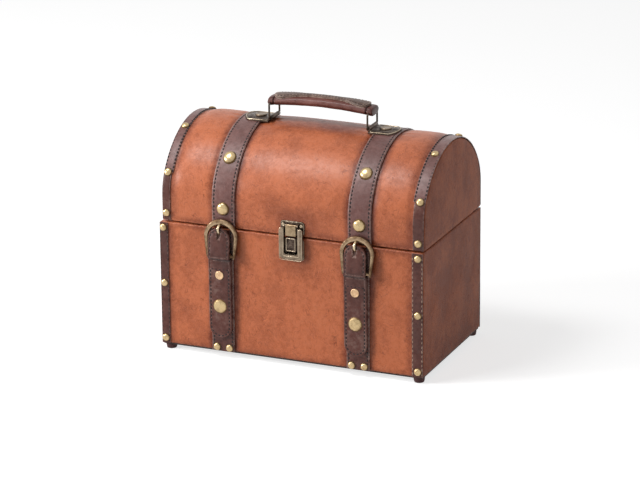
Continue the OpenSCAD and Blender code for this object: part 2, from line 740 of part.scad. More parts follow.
// Boards of the lid
module lid_rail(s) {
  y_out = lid_y + s * (lid_a - skin_d);
  y_in = lid_y + s * (lid_a - rail_in);
  block(
    [lid_x - lid_half + leather_t, min(y_out, y_in), lid_board_z],
    [lid_x + lid_half - leather_t, max(y_out, y_in), shoulder_z]
  );
}
module lid_front_rail() color(board_brown) placed() lid_rail(-1);
module lid_back_rail() color(board_brown) placed() lid_rail(1);

lid_in_y = lid_a - rail_in;
module lid_end(s) {
  x = lid_x + s * (lid_half - leather_t);
  x_in = lid_x + s * lid_in_x;
  along_x(min(x, x_in), max(x, x_in)) polygon(concat(
    [[lid_y - lid_in_y, lid_board_z], [lid_y - lid_in_y, shoulder_z]],
    arch_line(skin_d + skin_t, end_top),
    [[lid_y + lid_in_y, shoulder_z], [lid_y + lid_in_y, lid_board_z]]
  ));
}
module lid_end_left() color(board_brown) placed() lid_end(-1);
module lid_end_right() color(board_brown) placed() lid_end(1);

module lid_skin() color(board_brown) placed()
  along_x(lid_x - lid_half + leather_t, lid_x + lid_half - leather_t)
    polygon(concat(arch_line(skin_d, end_top), reversed(arch_line(skin_d + skin_t, end_top))));

// Foam between the bent board and the leather, thickest along the middle
function padding_outline(top) = arch_band(leather_t + layer_gap, skin_d, top, end_top, lid_board_z);
module lid_padding() color(foam_white) placed() translate([lid_x, 0, 0])
  loft([for (x = crown_stations())
    at_x(max(-lid_half + leather_t, min(lid_half - leather_t, x)), padding_outline(top_at(x)))], true);

// Leather over the lid, folded in under its front and back edges
function folded_line(d, top, z) = concat(
  [[lid_y - lid_in_y, z], [lid_y - lid_a + d, z]], arch_line(d, top),
  [[lid_y + lid_a - d, z], [lid_y + lid_in_y, z]]
);
function lid_leather_outline(top) =
  concat(folded_line(0, top, lid_z), reversed(folded_line(leather_t, top, lid_board_z)));
module lid_leather() color(tan_leather) placed() translate([lid_x, 0, 0])
  loft([for (x = crown_stations()) at_x(x, lid_leather_outline(top_at(x)))], true);

module lid_leather_ends() color(tan_leather) placed() for (s = [-1, 1]) {
  x = lid_x + s * lid_half;
  x_in = x - s * leather_t;
  along_x(min(x, x_in), max(x, x_in)) polygon(concat(
    [[lid_y - lid_in_y, lid_z], [lid_y - lid_in_y, lid_board_z], [lid_y - lid_a + leather_t, lid_board_z]],
    arch_line(leather_t, end_top),
    [[lid_y + lid_a - leather_t, lid_board_z], [lid_y + lid_in_y, lid_board_z], [lid_y + lid_in_y, lid_z]]
  ));
}

lining_z = rim_z + lip_up + 2;
lining_d = rail_in + lid_lining_t;
module lid_lining() color(cloth_beige) placed() difference() {
  along_x(lid_x - lid_in_x, lid_x + lid_in_x) polygon(concat(
    [[lid_y - lid_in_y, lining_z], [lid_y - lid_in_y, shoulder_z]],
    arch_line(skin_d + skin_t, end_top),
    [[lid_y + lid_in_y, shoulder_z], [lid_y + lid_in_y, lining_z]]
  ));
  along_x(lid_x - lid_in_x + lid_lining_t, lid_x + lid_in_x - lid_lining_t) polygon(concat(
    [[lid_y - lid_a + lining_d, lining_z - 1]],
    arch_line(lining_d, end_top),
    [[lid_y + lid_a - lining_d, lining_z - 1]]
  ));
}

// Straps and stitched strips over the lid
strap_low = lid_z + 1.5;
module lid_strap(s) along_x(lid_x + s * strap_x - strap_w / 2, lid_x + s * strap_x + strap_w / 2)
  polygon(arch_band(-strap_t, 0, mid_top, mid_top, strap_low));
module lid_strap_left() color(brown_leather) placed() lid_strap(-1);
module lid_strap_right() color(brown_leather) placed() lid_strap(1);

stud_shank = 2;
stud_l = 6;
top_stud_l = 5;
module strap_studs() color(old_brass) placed() for (s = [-1, 1]) {
  x = lid_x + s * strap_x;
  at_front(x, lid_front - strap_t, lid_z + stud_up) nail(stud_d, stud_h, stud_shank, stud_l);
  at_back(x, lid_y + lid_a + strap_t, lid_z + stud_up) nail(stud_d, stud_h, stud_shank, stud_l);
  for (t = [-1, 1]) at_arch(x, t, stud_angle, strap_t, mid_top) nail(stud_d, stud_h, stud_shank, top_stud_l);
}

function strip_outline(x) = concat(
  arch_line(-strip_t, top_at(x), strip_meet + 0.3),
  reversed(arch_line(-layer_gap, top_at(x), strip_meet + 0.3))
);
module arch_strips() color(brown_leather) placed() translate([lid_x, 0, 0]) {
  for (sx = [-1, 1]) {
    x = [for (d = [0, 0.5, 1]) sx * (lid_half - d * strip_wide(sx, arch_w))];
    loft([for (at = sx < 0 ? x : reversed(x)) at_x(at, strip_outline(at))], true);
  }
}

module plain_strip(sx, sy) {
  x = lid_x + sx * lid_half;
  x_in = x - sx * strip_wide(sx, lid_strip_w);
  w = lid_a - shoulder_r;
  outer = arc([w, shoulder_z], shoulder_r + strip_t, 0, strip_meet, 6);
  inner = arc([w, shoulder_z], shoulder_r + layer_gap, 0, strip_meet, 6);
  low = lid_z + strip_end;
  pts = concat([[lid_a + strip_t, low]], outer, reversed(inner), [[lid_a + layer_gap, low]]);
  along_x(min(x, x_in), max(x, x_in)) polygon([for (p = pts) [lid_y + sy * p.x, p.y]]);
}
module lid_corner_strips() color(brown_leather) placed()
  for (sx = [-1, 1], sy = [-1, 1]) plain_strip(sx, sy);

arch_nail = 24;
function edge_nail_x(sx) = lid_half - strip_wide(sx, lid_strip_w) / 2;
lid_shank = 5;
module lid_nails() color(old_brass) placed() for (sx = [-1, 1]) {
  x = lid_x + sx * edge_nail_x(sx);
  arch_x = lid_half - strip_wide(sx, arch_w) / 2;
  at_front(x, lid_front - strip_t, lid_z + nail_in + 2) nail(nail_d, nail_h, shank_d, lid_shank);
  at_back(x, lid_y + lid_a + strip_t, lid_z + nail_in + 2) nail(nail_d, nail_h, shank_d, lid_shank);
  for (s = [-1, 1]) {
    at_shoulder(x, s, strip_meet + 0.2, strip_t) nail(nail_d, nail_h, shank_d, lid_shank);
    at_arch(lid_x + sx * arch_x, s, arch_nail, strip_t, top_at(arch_x))
      nail(nail_d, nail_h, shank_d, lid_shank);
  }
}

// Handle plates, bent to the dome, each with a tube that the ring turns in
wire_r = wire_d / 2;
ring_x = ring_span / 2;
strap_crest = mid_top + strap_t;
tube_r = wire_r + 1.1;
ring_bend = 1.8;
tube_half = ring_w / 2 - ring_bend - 0.2;
pivot_z = strap_crest + tube_r;
grip_pivot = pivot_z + ring_h;
plate_in = ring_x + 1;
plate_out = ring_x + plate_len;
plate_half = asin(plate_w / 2 / arch_r(mid_top)) + 3;
plate_r = arch_r(mid_top) + strap_t;
module plate_outline(s) {
  r = plate_w / 2;
  mirror([s < 0 ? 1 : 0, 0]) {
    translate([plate_in, -r]) square([plate_out - plate_in - r * 0.6, 2 * r]);
    intersection() {
      translate([plate_out - r * 1.25, 0]) circle(r * 1.25);
      translate([plate_in, -r]) square([plate_out - plate_in, 2 * r]);
    }
  }
}
module handle_plate(s) {
  intersection() {
    along_x(handle_x - plate_out - 1, handle_x + plate_out + 1) polygon(concat(
      arc([lid_y, arch_z(mid_top)], plate_r + plate_t, 90 + plate_half, 90 - plate_half, 12),
      arc([lid_y, arch_z(mid_top)], plate_r, 90 - plate_half, 90 + plate_half, 12)
    ));
    translate([handle_x, lid_y, strap_crest - 10]) linear_extrude(20) plate_outline(s);
  }
  translate([handle_x + s * ring_x, lid_y, pivot_z]) difference() {
    union() {
      rod([0, -tube_half, 0], [0, tube_half, 0], tube_r);
      block([min(0, s * 3), -tube_half, -tube_r], [max(0, s * 3), tube_half, -tube_r + plate_t]);
    }
    rod([0, -tube_half - 1, 0], [0, tube_half + 1, 0], wire_r + run_gap);
  }
}
module handle_plates() color(dark_bronze) placed() for (s = [-1, 1]) handle_plate(s);
plate_rivet_x = ring_x + plate_len / 2 - 0.5;
plate_rivet_h = 1;
plate_rivet_shank = 3;
plate_rivet_l = 7;
module plate_rivets() color(dark_bronze) placed() for (s = [-1, 1])
  translate([handle_x + s * plate_rivet_x, lid_y, strap_crest + plate_t])
    nail(plate_rivet_d, plate_rivet_h, plate_rivet_shank, plate_rivet_l);

// Wire rings that carry the handle, bent from one wire
module handle_ring(s) translate([handle_x + s * ring_x, lid_y, 0]) rotate([90, 0, 90]) {
  w = ring_w / 2 - ring_bend;
  low = pivot_z + ring_bend;
  high = grip_pivot - ring_bend;
  for (z = [pivot_z, grip_pivot]) rod([-w, z, 0], [w, z, 0], wire_r);
  for (t = [-1, 1]) rod([t * ring_w / 2, low, 0], [t * ring_w / 2, high, 0], wire_r);
  for (c = [[w, high, 0], [-w, high, 90], [-w, low, 180], [w, low, 270]])
    translate([c.x, c.y]) rotate(c.z) rotate_extrude(angle = 90) translate([ring_bend, 0]) circle(wire_r);
}
module handle_ring_left() color(dark_bronze) placed() handle_ring(-1);
module handle_ring_right() color(dark_bronze) placed() handle_ring(1);

// Handle: a cord core in a leather cover, with a stitched strap on top
grip_half = ring_x + grip_over;
grip_mid = 0.9;
function grip_z(x) = grip_pivot + grip_mid + grip_arch * (1 - pow(x / grip_half, 2));
function grip_wide(x) = grip_w / 2 * (1 - 0.06 * (1 - pow(x / grip_half, 2)));
grip_sides = 24;
function grip_ring(x, w, h) = [for (i = [0 : grip_sides - 1])
  let (a = -360 * i / grip_sides, c = cos(a), s = sin(a))
  [x, w * sign(c) * pow(abs(c), 0.75), grip_z(x) + h * sign(s) * pow(abs(s), 0.85)]];
grip_round = 1;
grip_stations = [for (i = [-6 : 6]) i / 6 * (grip_half - grip_round)];
core_half = ring_x - 6;
cover_side = 2.4;
cover_top = 2;
core_stations = [for (i = [-4 : 4]) i / 4 * core_half];
module grip_body() loft(concat(
  [grip_ring(-grip_half, grip_wide(grip_half) - grip_round, grip_h / 2 - grip_round)],
  [for (x = grip_stations) grip_ring(x, grip_wide(x), grip_h / 2)],
  [grip_ring(grip_half, grip_wide(grip_half) - grip_round, grip_h / 2 - grip_round)]
));
module grip_core() loft([for (x = core_stations) grip_ring(x, grip_w / 2 - cover_side, grip_h / 2 - cover_top)]);
module at_handle() translate([handle_x, lid_y, 0]) children();
module handle_core() color(foam_white) placed() at_handle() grip_core();
module handle_cover() color(brown_leather) placed() at_handle() difference() {
  grip_body();
  grip_core();
  rod([-ring_x, -grip_w, grip_pivot], [-ring_x, grip_w, grip_pivot], wire_r + run_gap);
  rod([ring_x, -grip_w, grip_pivot], [ring_x, grip_w, grip_pivot], wire_r + 3 * run_gap);
}

overlay_half = grip_half - 5;
function overlay_wide(x) =
  let (u = abs(x) / overlay_half, end = sqrt(max(0.04, 1 - pow(max(0, u - 0.84) / 0.165, 2))))
  (grip_w / 2 - 2.8) * (0.62 + 0.38 * min(1, pow(u / 0.7, 3))) * end;
overlay_cuts = 6;
overlay_gap = 0.25;
function grip_top(x, y) =
  let (w = grip_wide(x), s = pow(1 - pow(abs(y) / w, 1 / 0.75 * 2), 0.85 / 2)) grip_z(x) + grip_h / 2 * s;
function overlay_ring(x) =
  let (w = overlay_wide(x))
  concat(
    [for (i = [-overlay_cuts : overlay_cuts]) let (y = w * i / overlay_cuts)
      [x, y, grip_top(x, y) + overlay_gap + overlay_t]],
    [for (i = [overlay_cuts : -1 : -overlay_cuts]) let (y = w * i / overlay_cuts)
      [x, y, grip_top(x, y) + overlay_gap]]
  );
overlay_shares = [0.25, 0.5, 0.7, 0.84, 0.92, 0.97, 1];
overlay_stations = overlay_half * concat(-reversed(overlay_shares), [0], overlay_shares);
module handle_overlay() color(brown_leather) placed() at_handle()
  loft([for (x = overlay_stations) overlay_ring(x)], true);

base_board();
front_board();
back_board();
left_board();
right_board();
body_leather_front();
body_leather_back();
body_leather_ends();
under_board();
body_lining();
inner_lip();
feet();
corner_strips();
corner_nails();
body_straps();
strap_nails();
buckle_strap_left();
buckle_strap_right();
strap_rivets();
snap_caps();
lock_case();
lock_spring();
hinge_leaves_body();
hinge_pins();
hinge_screws_body();
lid_front_rail();
lid_back_rail();
lid_end_left();
lid_end_right();
lid_skin();
lid_padding();
lid_leather();
lid_leather_ends();
lid_lining();
lid_strap_left();
lid_strap_right();
strap_studs();
arch_strips();
lid_corner_strips();
lid_nails();
handle_plates();
plate_rivets();
latch_plate();
latch_nails();
hasp_pin();
hinge_leaves_lid();
hinge_screws_lid();
hasp();
lock_button();
handle_ring_left();
handle_ring_right();
handle_core();
handle_cover();
handle_overlay();
buckle_frame_left();
buckle_frame_right();
buckle_prong_left();
buckle_prong_right();
buckle_tab_left();
buckle_tab_right();
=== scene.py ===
"""Storage trunk with a domed lid: leather, straps, brass and cloth over the packed model."""

import math

import bmesh
import bpy
from mathutils import Matrix, Vector, noise


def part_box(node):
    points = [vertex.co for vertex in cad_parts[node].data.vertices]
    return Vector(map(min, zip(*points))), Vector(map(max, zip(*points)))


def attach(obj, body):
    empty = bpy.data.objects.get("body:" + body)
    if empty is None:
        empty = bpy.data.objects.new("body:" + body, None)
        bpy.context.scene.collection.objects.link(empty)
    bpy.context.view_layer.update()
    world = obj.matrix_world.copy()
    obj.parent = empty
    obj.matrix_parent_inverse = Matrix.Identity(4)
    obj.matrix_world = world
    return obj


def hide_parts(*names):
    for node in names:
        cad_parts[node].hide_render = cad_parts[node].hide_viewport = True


bl_info = {
    "name": "Storage trunk",
    "version": (1, 0, 0),
    "blender": (4, 5, 0),
    "location": "3D View > Sidebar > Trunk",
    "description": "Dresses the packed trunk in leather, brass and cloth",
    "category": "Object",
}

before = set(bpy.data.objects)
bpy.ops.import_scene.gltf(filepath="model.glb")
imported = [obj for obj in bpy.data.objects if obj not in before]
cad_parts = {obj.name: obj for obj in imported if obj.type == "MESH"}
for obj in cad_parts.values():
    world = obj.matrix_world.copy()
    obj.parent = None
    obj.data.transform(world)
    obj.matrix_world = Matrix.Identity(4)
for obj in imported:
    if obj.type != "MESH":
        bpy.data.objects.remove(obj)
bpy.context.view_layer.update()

MM = 0.001

# Sizes of the packed model, in mm and degrees, in its own frame; leans are in radians
MID_Y = 2.752
HALF_W, HALF_D = 142.5, 80.0
BASE_Z, RIM_Z = 7.0, 136.5
FOOT_D, FOOT_H, FOOT_IN = 11.5, 5.5, 7.0
FLOOR_Z, LINING_TOP = 13.0, 116.5
IN_X, IN_Y = 133.3, 70.8
STRAP_X, STRAP_W, STRAP_T = 73.5, 25.0, 2.0
STRIP_W, STRIP_T, STRIP_TOP = 12.0, 1.0, 136.0
CORNER_NAILS_X, CORNER_NAILS_Z = (-138.1, 137.0), (13.0, 71.95, 130.9)
STRAP_NAILS_X, STRAP_NAILS_Z = (-6.8, 6.8), 11.125
HINGE_X, HINGE_Z, SCREW_X, SCREW_Z = 40.0, 137.5, 8.82, 11.9

LID_X, LID_Y = 1.5, MID_Y + 0.75
LID_HALF, LID_A, LID_Z = 141.0, 79.25, 138.5
LID_IN_X, LID_IN_Y = 135.6, 72.35
SHOULDER_Z, SHOULDER_R = 163.5, 50.0
END_TOP, CROWN, CROWN_RUN = 229.0, 2.0, 30.0
LINING_Z, LINING_DEPTH = 143.5, 8.1
ARCH_W, LID_STRIP_W, STRIP_MEET = 13.0, 11.5, 24.0
LEFT_LESS, SUNK = 2.8, 0.15
LID_NAIL_Z, ARCH_NAIL_UP, NAIL_H = 146.1, 24.0, 2.7
STUD_Z, STUD_UP, STUD_H = 157.8, 47.0, 3.9

BAR_Y, BAR_Z = -85.3, 110.0
BUCKLE_X, BUCKLE_TILT = 0.6, math.radians(-3.5)
TAB_LEAN = math.radians(-5.2)
TAB_Y, TAB_T, TAB_W, TAB_LOW, TAB_TOP = -4.6, 2.2, 23.5, -2.8, 29.5
SEWN_X, SEWN_Y, SEWN_T, SEWN_LOW, SEWN_TOP = -1.3, -82.0, 3.5, 22.0, 106.4
CAP_DROP, CAP_W, CAP_H = 54.0, 15.0, 1.9
RIVET_DROP, RIVET_W, RIVET_H = 21.0, 9.0, 1.1
LATCH_X, LATCH_ARM, LATCH_SLOT = 3.0, 4.85, 5.2
LATCH_NAIL_X, LATCH_NAIL_Z = 9.8, 149.3
HANDLE_X, RING_X = 3.0, 53.3
GRIP_PIVOT, GRIP_HALF, GRIP_W, GRIP_H = 250.6, 56.8, 20.5, 9.6
OVERLAY_HALF = 51.8
PLATE_R, PLATE_T, PLATE_TOP, PLATE_RIVET_X = 85.19, 1.3, 234.3, 14.75
PLATE_RIVET, LATCH_NAIL, SCREW = (11.5, 11.5, 1.5), (3.6, 3.6, 0.9), (4.6, 4.6, 1.1)

# The stage: lamps in metres, the floor and the fitted camera in mm and degrees
LAMP_AIM = (0, 0, 0.12)
LAMPS = (("over", (-0.78, -0.73, 1.93), 0.7, 21.0), ("front", (-1.72, -1.12, 0.75), 0.6, 34.0),
         ("side", (1.9, -0.3, 0.7), 1.0, 1.2))
SOFT_LIGHT, FLOOR_GREY, FLOOR_GLOW, FLOOR_HALF = 0.2, 0.55, 0.7, 6000
AZIMUTH, ELEVATION, ROLL = 23.133, 18.479, -0.552
LENS, CAMERA_AIM, CAMERA_FAR = 190.777, (-1.278, 2.752, 108.626), 3444.635


# Places over the lid

def top_at(u):
    """How high the lid's leather stands, u mm from the lid's middle."""
    t = max(0.0, (abs(u) - (LID_HALF - CROWN_RUN)) / CROWN_RUN)
    return END_TOP + CROWN * (1 - t * t)


def arch(top):
    """Radius, centre height and half angle of the wide arc over the lid."""
    w = LID_A - SHOULDER_R
    rise = top - SHOULDER_Z
    r = (w * w + rise * rise - SHOULDER_R ** 2) / (2 * (rise - SHOULDER_R))
    return r, top - r, math.atan2(w, SHOULDER_Z - top + r)


WALL = SHOULDER_Z - LID_Z
BEND = SHOULDER_R * (math.pi / 2 - arch(END_TOP + CROWN)[2])
OVER = 2 * arch(END_TOP + CROWN)[0] * arch(END_TOP + CROWN)[2]
AROUND = 2 * (WALL + BEND) + OVER


def over_lid(u, s, lift=0.0):
    """The place s mm over the lid from its front edge, lift mm off it, and the way out."""
    r, centre, half = arch(top_at(u))
    side = -1 if s < AROUND / 2 else 1
    q = s if side < 0 else AROUND - s
    if q <= WALL:
        y, z, out = LID_A + lift, LID_Z + q, Vector((0, 1, 0))
    elif q <= WALL + BEND:
        a = (q - WALL) / BEND * (math.pi / 2 - half)
        out = Vector((0, math.cos(a), math.sin(a)))
        y = LID_A - SHOULDER_R + (SHOULDER_R + lift) * out.y
        z = SHOULDER_Z + (SHOULDER_R + lift) * out.z
    else:
        b = half * (1 - (q - WALL - BEND) / (OVER / 2))
        out = Vector((0, math.sin(b), math.cos(b)))
        y, z = (r + lift) * out.y, centre + (r + lift) * out.z
    return Vector((LID_X + u, LID_Y + side * y, z)), Vector((0, side * out.y, out.z))


def strip_wide(s, width):
    """How wide a binding strip is; the left ones are narrower."""
    return width - LEFT_LESS if s < 0 else width


def along_shoulder(up):
    """How far over the lid an angle up its front shoulder lies."""
    return WALL + SHOULDER_R * math.radians(up)


def along_arch(angle):
    """How far over the lid an angle from its crest lies, at the front."""
    half = math.degrees(arch(END_TOP + CROWN)[2])
    return AROUND / 2 - OVER / 2 * angle / half


# Meshes

def smooth_step(low, high, x):
    """0 below low, 1 above high, and a smooth rise between."""
    t = min(max((x - low) / (high - low), 0.0), 1.0)
    return t * t * (3 - 2 * t)


def fade(low, high, x):
    """1 below low, 0 above high, and a smooth fall between."""
    return 1 - smooth_step(low, high, x)


def spread(low, high, step):
    """Even stations from low to high, about a step apart."""
    n = max(1, round(abs(high - low) / step))
    return [low + (high - low) * i / n for i in range(n + 1)]


def add_rings(bm, rings, closed=True, caps=True):
    """A skin through rings of points in mm; closed rings have their ends capped unless told."""
    made = [[bm.verts.new(Vector(p) * MM) for p in ring] for ring in rings]
    n = len(made[0])
    for a, b in zip(made, made[1:]):
        for i in range(n if closed else n - 1):
            j = (i + 1) % n
            bm.faces.new((a[i], a[j], b[j], b[i]))
    if closed and caps:
        bm.faces.new(made[0])
        bm.faces.new(made[-1])


def add_turned(bm, outline, to_place, steps):
    """A turned shape: its outline of (radius, height) goes from the axis back to the axis."""
    rings = []
    for r, h in outline:
        r = max(r, 0.001)
        rings.append([
            to_place(Vector((r * math.cos(a), r * math.sin(a), h)))
            for a in (2 * math.pi * i / steps for i in range(steps))
        ])
    add_rings(bm, rings)


def linked(name, mesh):
    """A new object in the scene."""
    obj = bpy.data.objects.new(name, mesh)
    bpy.context.scene.collection.objects.link(obj)
    return obj


def finished(name, bm, finish, sharp=38, weld=0.00001):
    """An object from a bmesh, welded, facing outwards, smooth up to an angle."""
    bmesh.ops.remove_doubles(bm, verts=bm.verts, dist=weld)
    bmesh.ops.recalc_face_normals(bm, faces=bm.faces)
    mesh = bpy.data.meshes.new(name)
    bm.to_mesh(mesh)
    bm.free()
    mesh.materials.append(finish)
    mesh.shade_smooth()
    mesh.set_sharp_from_angle(angle=math.radians(sharp))
    return linked(name, mesh)


def bake(obj, sharp=38):
    """Makes an object's modifiers part of its mesh."""
    bpy.context.view_layer.update()
    graph = bpy.context.evaluated_depsgraph_get()
    mesh = bpy.data.meshes.new_from_object(obj.evaluated_get(graph))
    mesh.name = obj.name
    old = obj.data
    obj.modifiers.clear()
    obj.data = mesh
    bpy.data.meshes.remove(old)
    mesh.shade_smooth()
    mesh.set_sharp_from_angle(angle=math.radians(sharp))
    return obj


def thicken(obj, thickness, way=-1):
    """Gives an open skin its thickness, towards its inside or, with 1, its outside."""
    wall = obj.modifiers.new("Thickness", "SOLIDIFY")
    wall.thickness = thickness * MM
    wall.offset = way
    wall.use_even_offset = True
    return bake(obj)


def paint(obj, name, rule):
    """Stores a number on each point of a mesh, worked out from its place in mm."""
    mesh = obj.data
    attribute = mesh.attributes.new(name, "FLOAT", "POINT")
    attribute.data.foreach_set("value", [rule(v.co / MM) for v in mesh.vertices])


def paint_edges(obj, angle=12):
    """Stores 1 on the points along a mesh's edges and 0 on its flats, for wear."""
    bm = bmesh.new()
    bm.from_mesh(obj.data)
    turn = {v.index: 0.0 for v in bm.verts}
    for edge in bm.edges:
        if len(edge.link_faces) == 2:
            bent = math.degrees(edge.calc_face_angle(0.0))
            for v in edge.verts:
                turn[v.index] = max(turn[v.index], bent)
    bm.free()
    attribute = obj.data.attributes.new("edge", "FLOAT", "POINT")
    values = [smooth_step(angle, angle + 25, turn[i]) for i in range(len(obj.data.vertices))]
    attribute.data.foreach_set("value", values)


def softened(name, node, finish, width, segments=2):
    """A copy of a packed node with its edges rounded, which stands for the node."""
    bm = bmesh.new()
    bm.from_mesh(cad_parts[node].data)
    bmesh.ops.remove_doubles(bm, verts=bm.verts, dist=0.000002)
    bmesh.ops.dissolve_limit(bm, angle_limit=math.radians(1), verts=bm.verts, edges=bm.edges)
    obj = finished(name, bm, finish, weld=0.000002)
    bevel = obj.modifiers.new("Rounding", "BEVEL")
    bevel.width = width * MM
    bevel.segments = segments
    bevel.limit_method = "ANGLE"
    bevel.angle_limit = math.radians(32)
    bake(obj, 50)
    paint_edges(obj)
    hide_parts(node)
    return obj


def coat(node, finish):
    """Gives a packed node its finish and leaves its mesh alone."""
    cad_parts[node].data.materials[0] = finish


def settle(obj, body, slot, *nodes):
    """Puts a piece on its body, gives it the record's finish and says what it stands for."""
    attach(obj, body)
    if nodes:
        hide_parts(*nodes)
    return obj


# Node trees

def add_node(tree, kind, inputs=None, **settings):
    """A node with its settings and its inputs, which are values or other nodes' outputs."""
    node = tree.nodes.new(kind)
    for key, value in settings.items():
        setattr(node, key, value)
    for key, value in (inputs or {}).items():
        if isinstance(value, bpy.types.NodeSocket):
            tree.links.new(value, node.inputs[key])
        else:
            node.inputs[key].default_value = value
    return node


def calc(tree, operation, *values, clamp=False):
    """The result of a math node."""
    return add_node(tree, "ShaderNodeMath", dict(enumerate(values)), operation=operation,
                    use_clamp=clamp).outputs[0]


def node_group(name, kind, inputs, outputs):
    """Turns a rule that wires nodes into a maker of the named group, which is built once."""
    def with_rule(wire):
        def group():
            tree = bpy.data.node_groups.get(name)
            if tree is None:
                tree = bpy.data.node_groups.new(name, kind)
                for way, sockets in (("INPUT", inputs), ("OUTPUT", outputs)):
                    for label, socket in sockets.items():
                        tree.interface.new_socket(name=label, in_out=way,
                                                  socket_type=f"NodeSocket{socket}")
                made = wire(tree, tree.nodes.new("NodeGroupInput").outputs)
                out = tree.nodes.new("NodeGroupOutput")
                for key, socket in made.items():
                    tree.links.new(socket, out.inputs[key])
            return tree
        group.__doc__ = wire.__doc__
        return group
    return with_rule


def made_real(tree, geometry, coating):
    """Plain geometry with its material, which ends each geometry tree."""
    real = add_node(tree, "GeometryNodeRealizeInstances", {"Geometry": geometry})
    return add_node(tree, "GeometryNodeSetMaterial", {
        "Geometry": real.outputs[0], "Material": coating}).outputs[0]


@node_group("Shapes on points", "GeometryNodeTree", {
    "Points": "Geometry", "Shape": "Object", "Length": "Float", "Width": "Float",
    "Height": "Float", "Unevenness": "Float", "Seed": "Int", "Material": "Material",
}, {"Shapes": "Geometry"})
def shapes_tree(tree, given):
    """Copies a small shape to each point, turned by the point's own directions."""
    along, outward = (
        add_node(tree, "GeometryNodeInputNamedAttribute", {"Name": key},
                 data_type="FLOAT_VECTOR").outputs["Attribute"] for key in ("along", "out"))
    axes = add_node(tree, "FunctionNodeAxesToRotation", {
        "Primary Axis": outward, "Secondary Axis": along,
    }, primary_axis="Z", secondary_axis="X")
    turn = add_node(tree, "FunctionNodeRandomValue", {
        2: calc(tree, "SUBTRACT", 0.0, given["Unevenness"]), 3: given["Unevenness"],
        "Seed": given["Seed"]}, data_type="FLOAT").outputs[1]
    spin = add_node(tree, "ShaderNodeCombineXYZ", {2: turn})
    spin = add_node(tree, "FunctionNodeEulerToRotation", {0: spin.outputs[0]})
    turned = add_node(tree, "FunctionNodeRotateRotation", {
        0: axes.outputs[0], 1: spin.outputs[0]}, rotation_space="LOCAL")
    size = add_node(tree, "ShaderNodeCombineXYZ", {
        0: given["Length"], 1: given["Width"], 2: given["Height"]})
    scale = add_node(tree, "ShaderNodeVectorMath", {
        0: size.outputs[0], 3: calc(tree, "ADD", turn, 1.0)}, operation="SCALE")
    shape = add_node(tree, "GeometryNodeObjectInfo", {
        "Object": given["Shape"], "As Instance": True})
    copies = add_node(tree, "GeometryNodeInstanceOnPoints", {
        "Points": given["Points"], "Instance": shape.outputs["Geometry"],
        "Rotation": turned.outputs[0], "Scale": scale.outputs[0]})
    return {"Shapes": made_real(tree, copies.outputs[0], given["Material"])}


@node_group("Strip along a path", "GeometryNodeTree", {
    "Paths": "Geometry", "Section": "Object", "Width": "Float", "Thickness": "Float",
    "Material": "Material",
}, {"Strips": "Geometry"})
def strip_tree(tree, given):
    """Draws a strip's section along each path, with its width and thickness."""
    section = add_node(tree, "GeometryNodeObjectInfo", {"Object": given["Section"]})
    size = add_node(tree, "ShaderNodeCombineXYZ", {
        0: given["Width"], 1: given["Thickness"], 2: 1.0})
    sized = add_node(tree, "GeometryNodeTransform", {
        "Geometry": section.outputs["Geometry"], "Scale": size.outputs[0]})
    edge = add_node(tree, "GeometryNodeMeshToCurve", {"Mesh": sized.outputs[0]})
    line = add_node(tree, "GeometryNodeMeshToCurve", {"Mesh": given["Paths"]})
    strip = add_node(tree, "GeometryNodeCurveToMesh", {
        "Curve": line.outputs[0], "Profile Curve": edge.outputs[0], "Fill Caps": True})
    return {"Strips": made_real(tree, strip.outputs[0], given["Material"])}


def run_tree(obj, tree, sharp, **values):
    """Runs a node tree on an object and keeps the result as its plain mesh."""
    modifier = obj.modifiers.new("Nodes", "NODES")
    modifier.node_group = tree
    for item in tree.interface.items_tree:
        if item.in_out == "INPUT" and item.name in values:
            modifier[item.identifier] = values[item.name]
    return bake(obj, sharp)


def scatter(name, shape, places, size, finish, unevenness, seed):
    """One mesh of a shape at places, each (point, way along, way out), sized in mm."""
    mesh = bpy.data.meshes.new(name)
    mesh.from_pydata([tuple(Vector(p[0]) * MM) for p in places], [], [])
    for key, index in (("along", 1), ("out", 2)):
        attribute = mesh.attributes.new(key, "FLOAT_VECTOR", "POINT")
        attribute.data.foreach_set("vector", [c for p in places for c in p[index]])
    obj = linked(name, mesh)
    return run_tree(obj, shapes_tree(), 50, Shape=shape, Length=size[0] * MM,
                    Width=size[1] * MM, Height=size[2] * MM, Unevenness=unevenness,
                    Seed=seed, Material=finish)


def drop(*objs):
    """Removes helper shapes once they have been used."""
    for obj in objs:
        bpy.data.objects.remove(obj)


def joined(name, *objs):
    """One object from several, with their materials kept."""
    bpy.ops.object.select_all(action="DESELECT")
    for obj in objs:
        obj.select_set(True)
    bpy.context.view_layer.objects.active = objs[0]
    bpy.ops.object.join()
    objs[0].name = name
    return objs[0]


# Shader node groups

def ramp(tree, value, low, high, start=0.0, end=1.0, course="SMOOTHSTEP"):
    """A change from one number to another while a value rises."""
    return add_node(tree, "ShaderNodeMapRange", {0: value, 1: low, 2: high, 3: start, 4: end},
                    interpolation_type=course).outputs[0]


def blend(tree, share, one, other):
    """A colour between two."""
    return add_node(tree, "ShaderNodeMix", {0: share, 6: one, 7: other},
                    data_type="RGBA").outputs[2]


def cloud(tree, place, scale, detail=4.0, rough=0.6):
    """A noise texture's value."""
    return add_node(tree, "ShaderNodeTexNoise", {
        "Vector": place, "Scale": scale, "Detail": detail, "Roughness": rough}).outputs[0]


LOOK = {"Colour": "Color", "Roughness": "Float", "Height": "Float"}


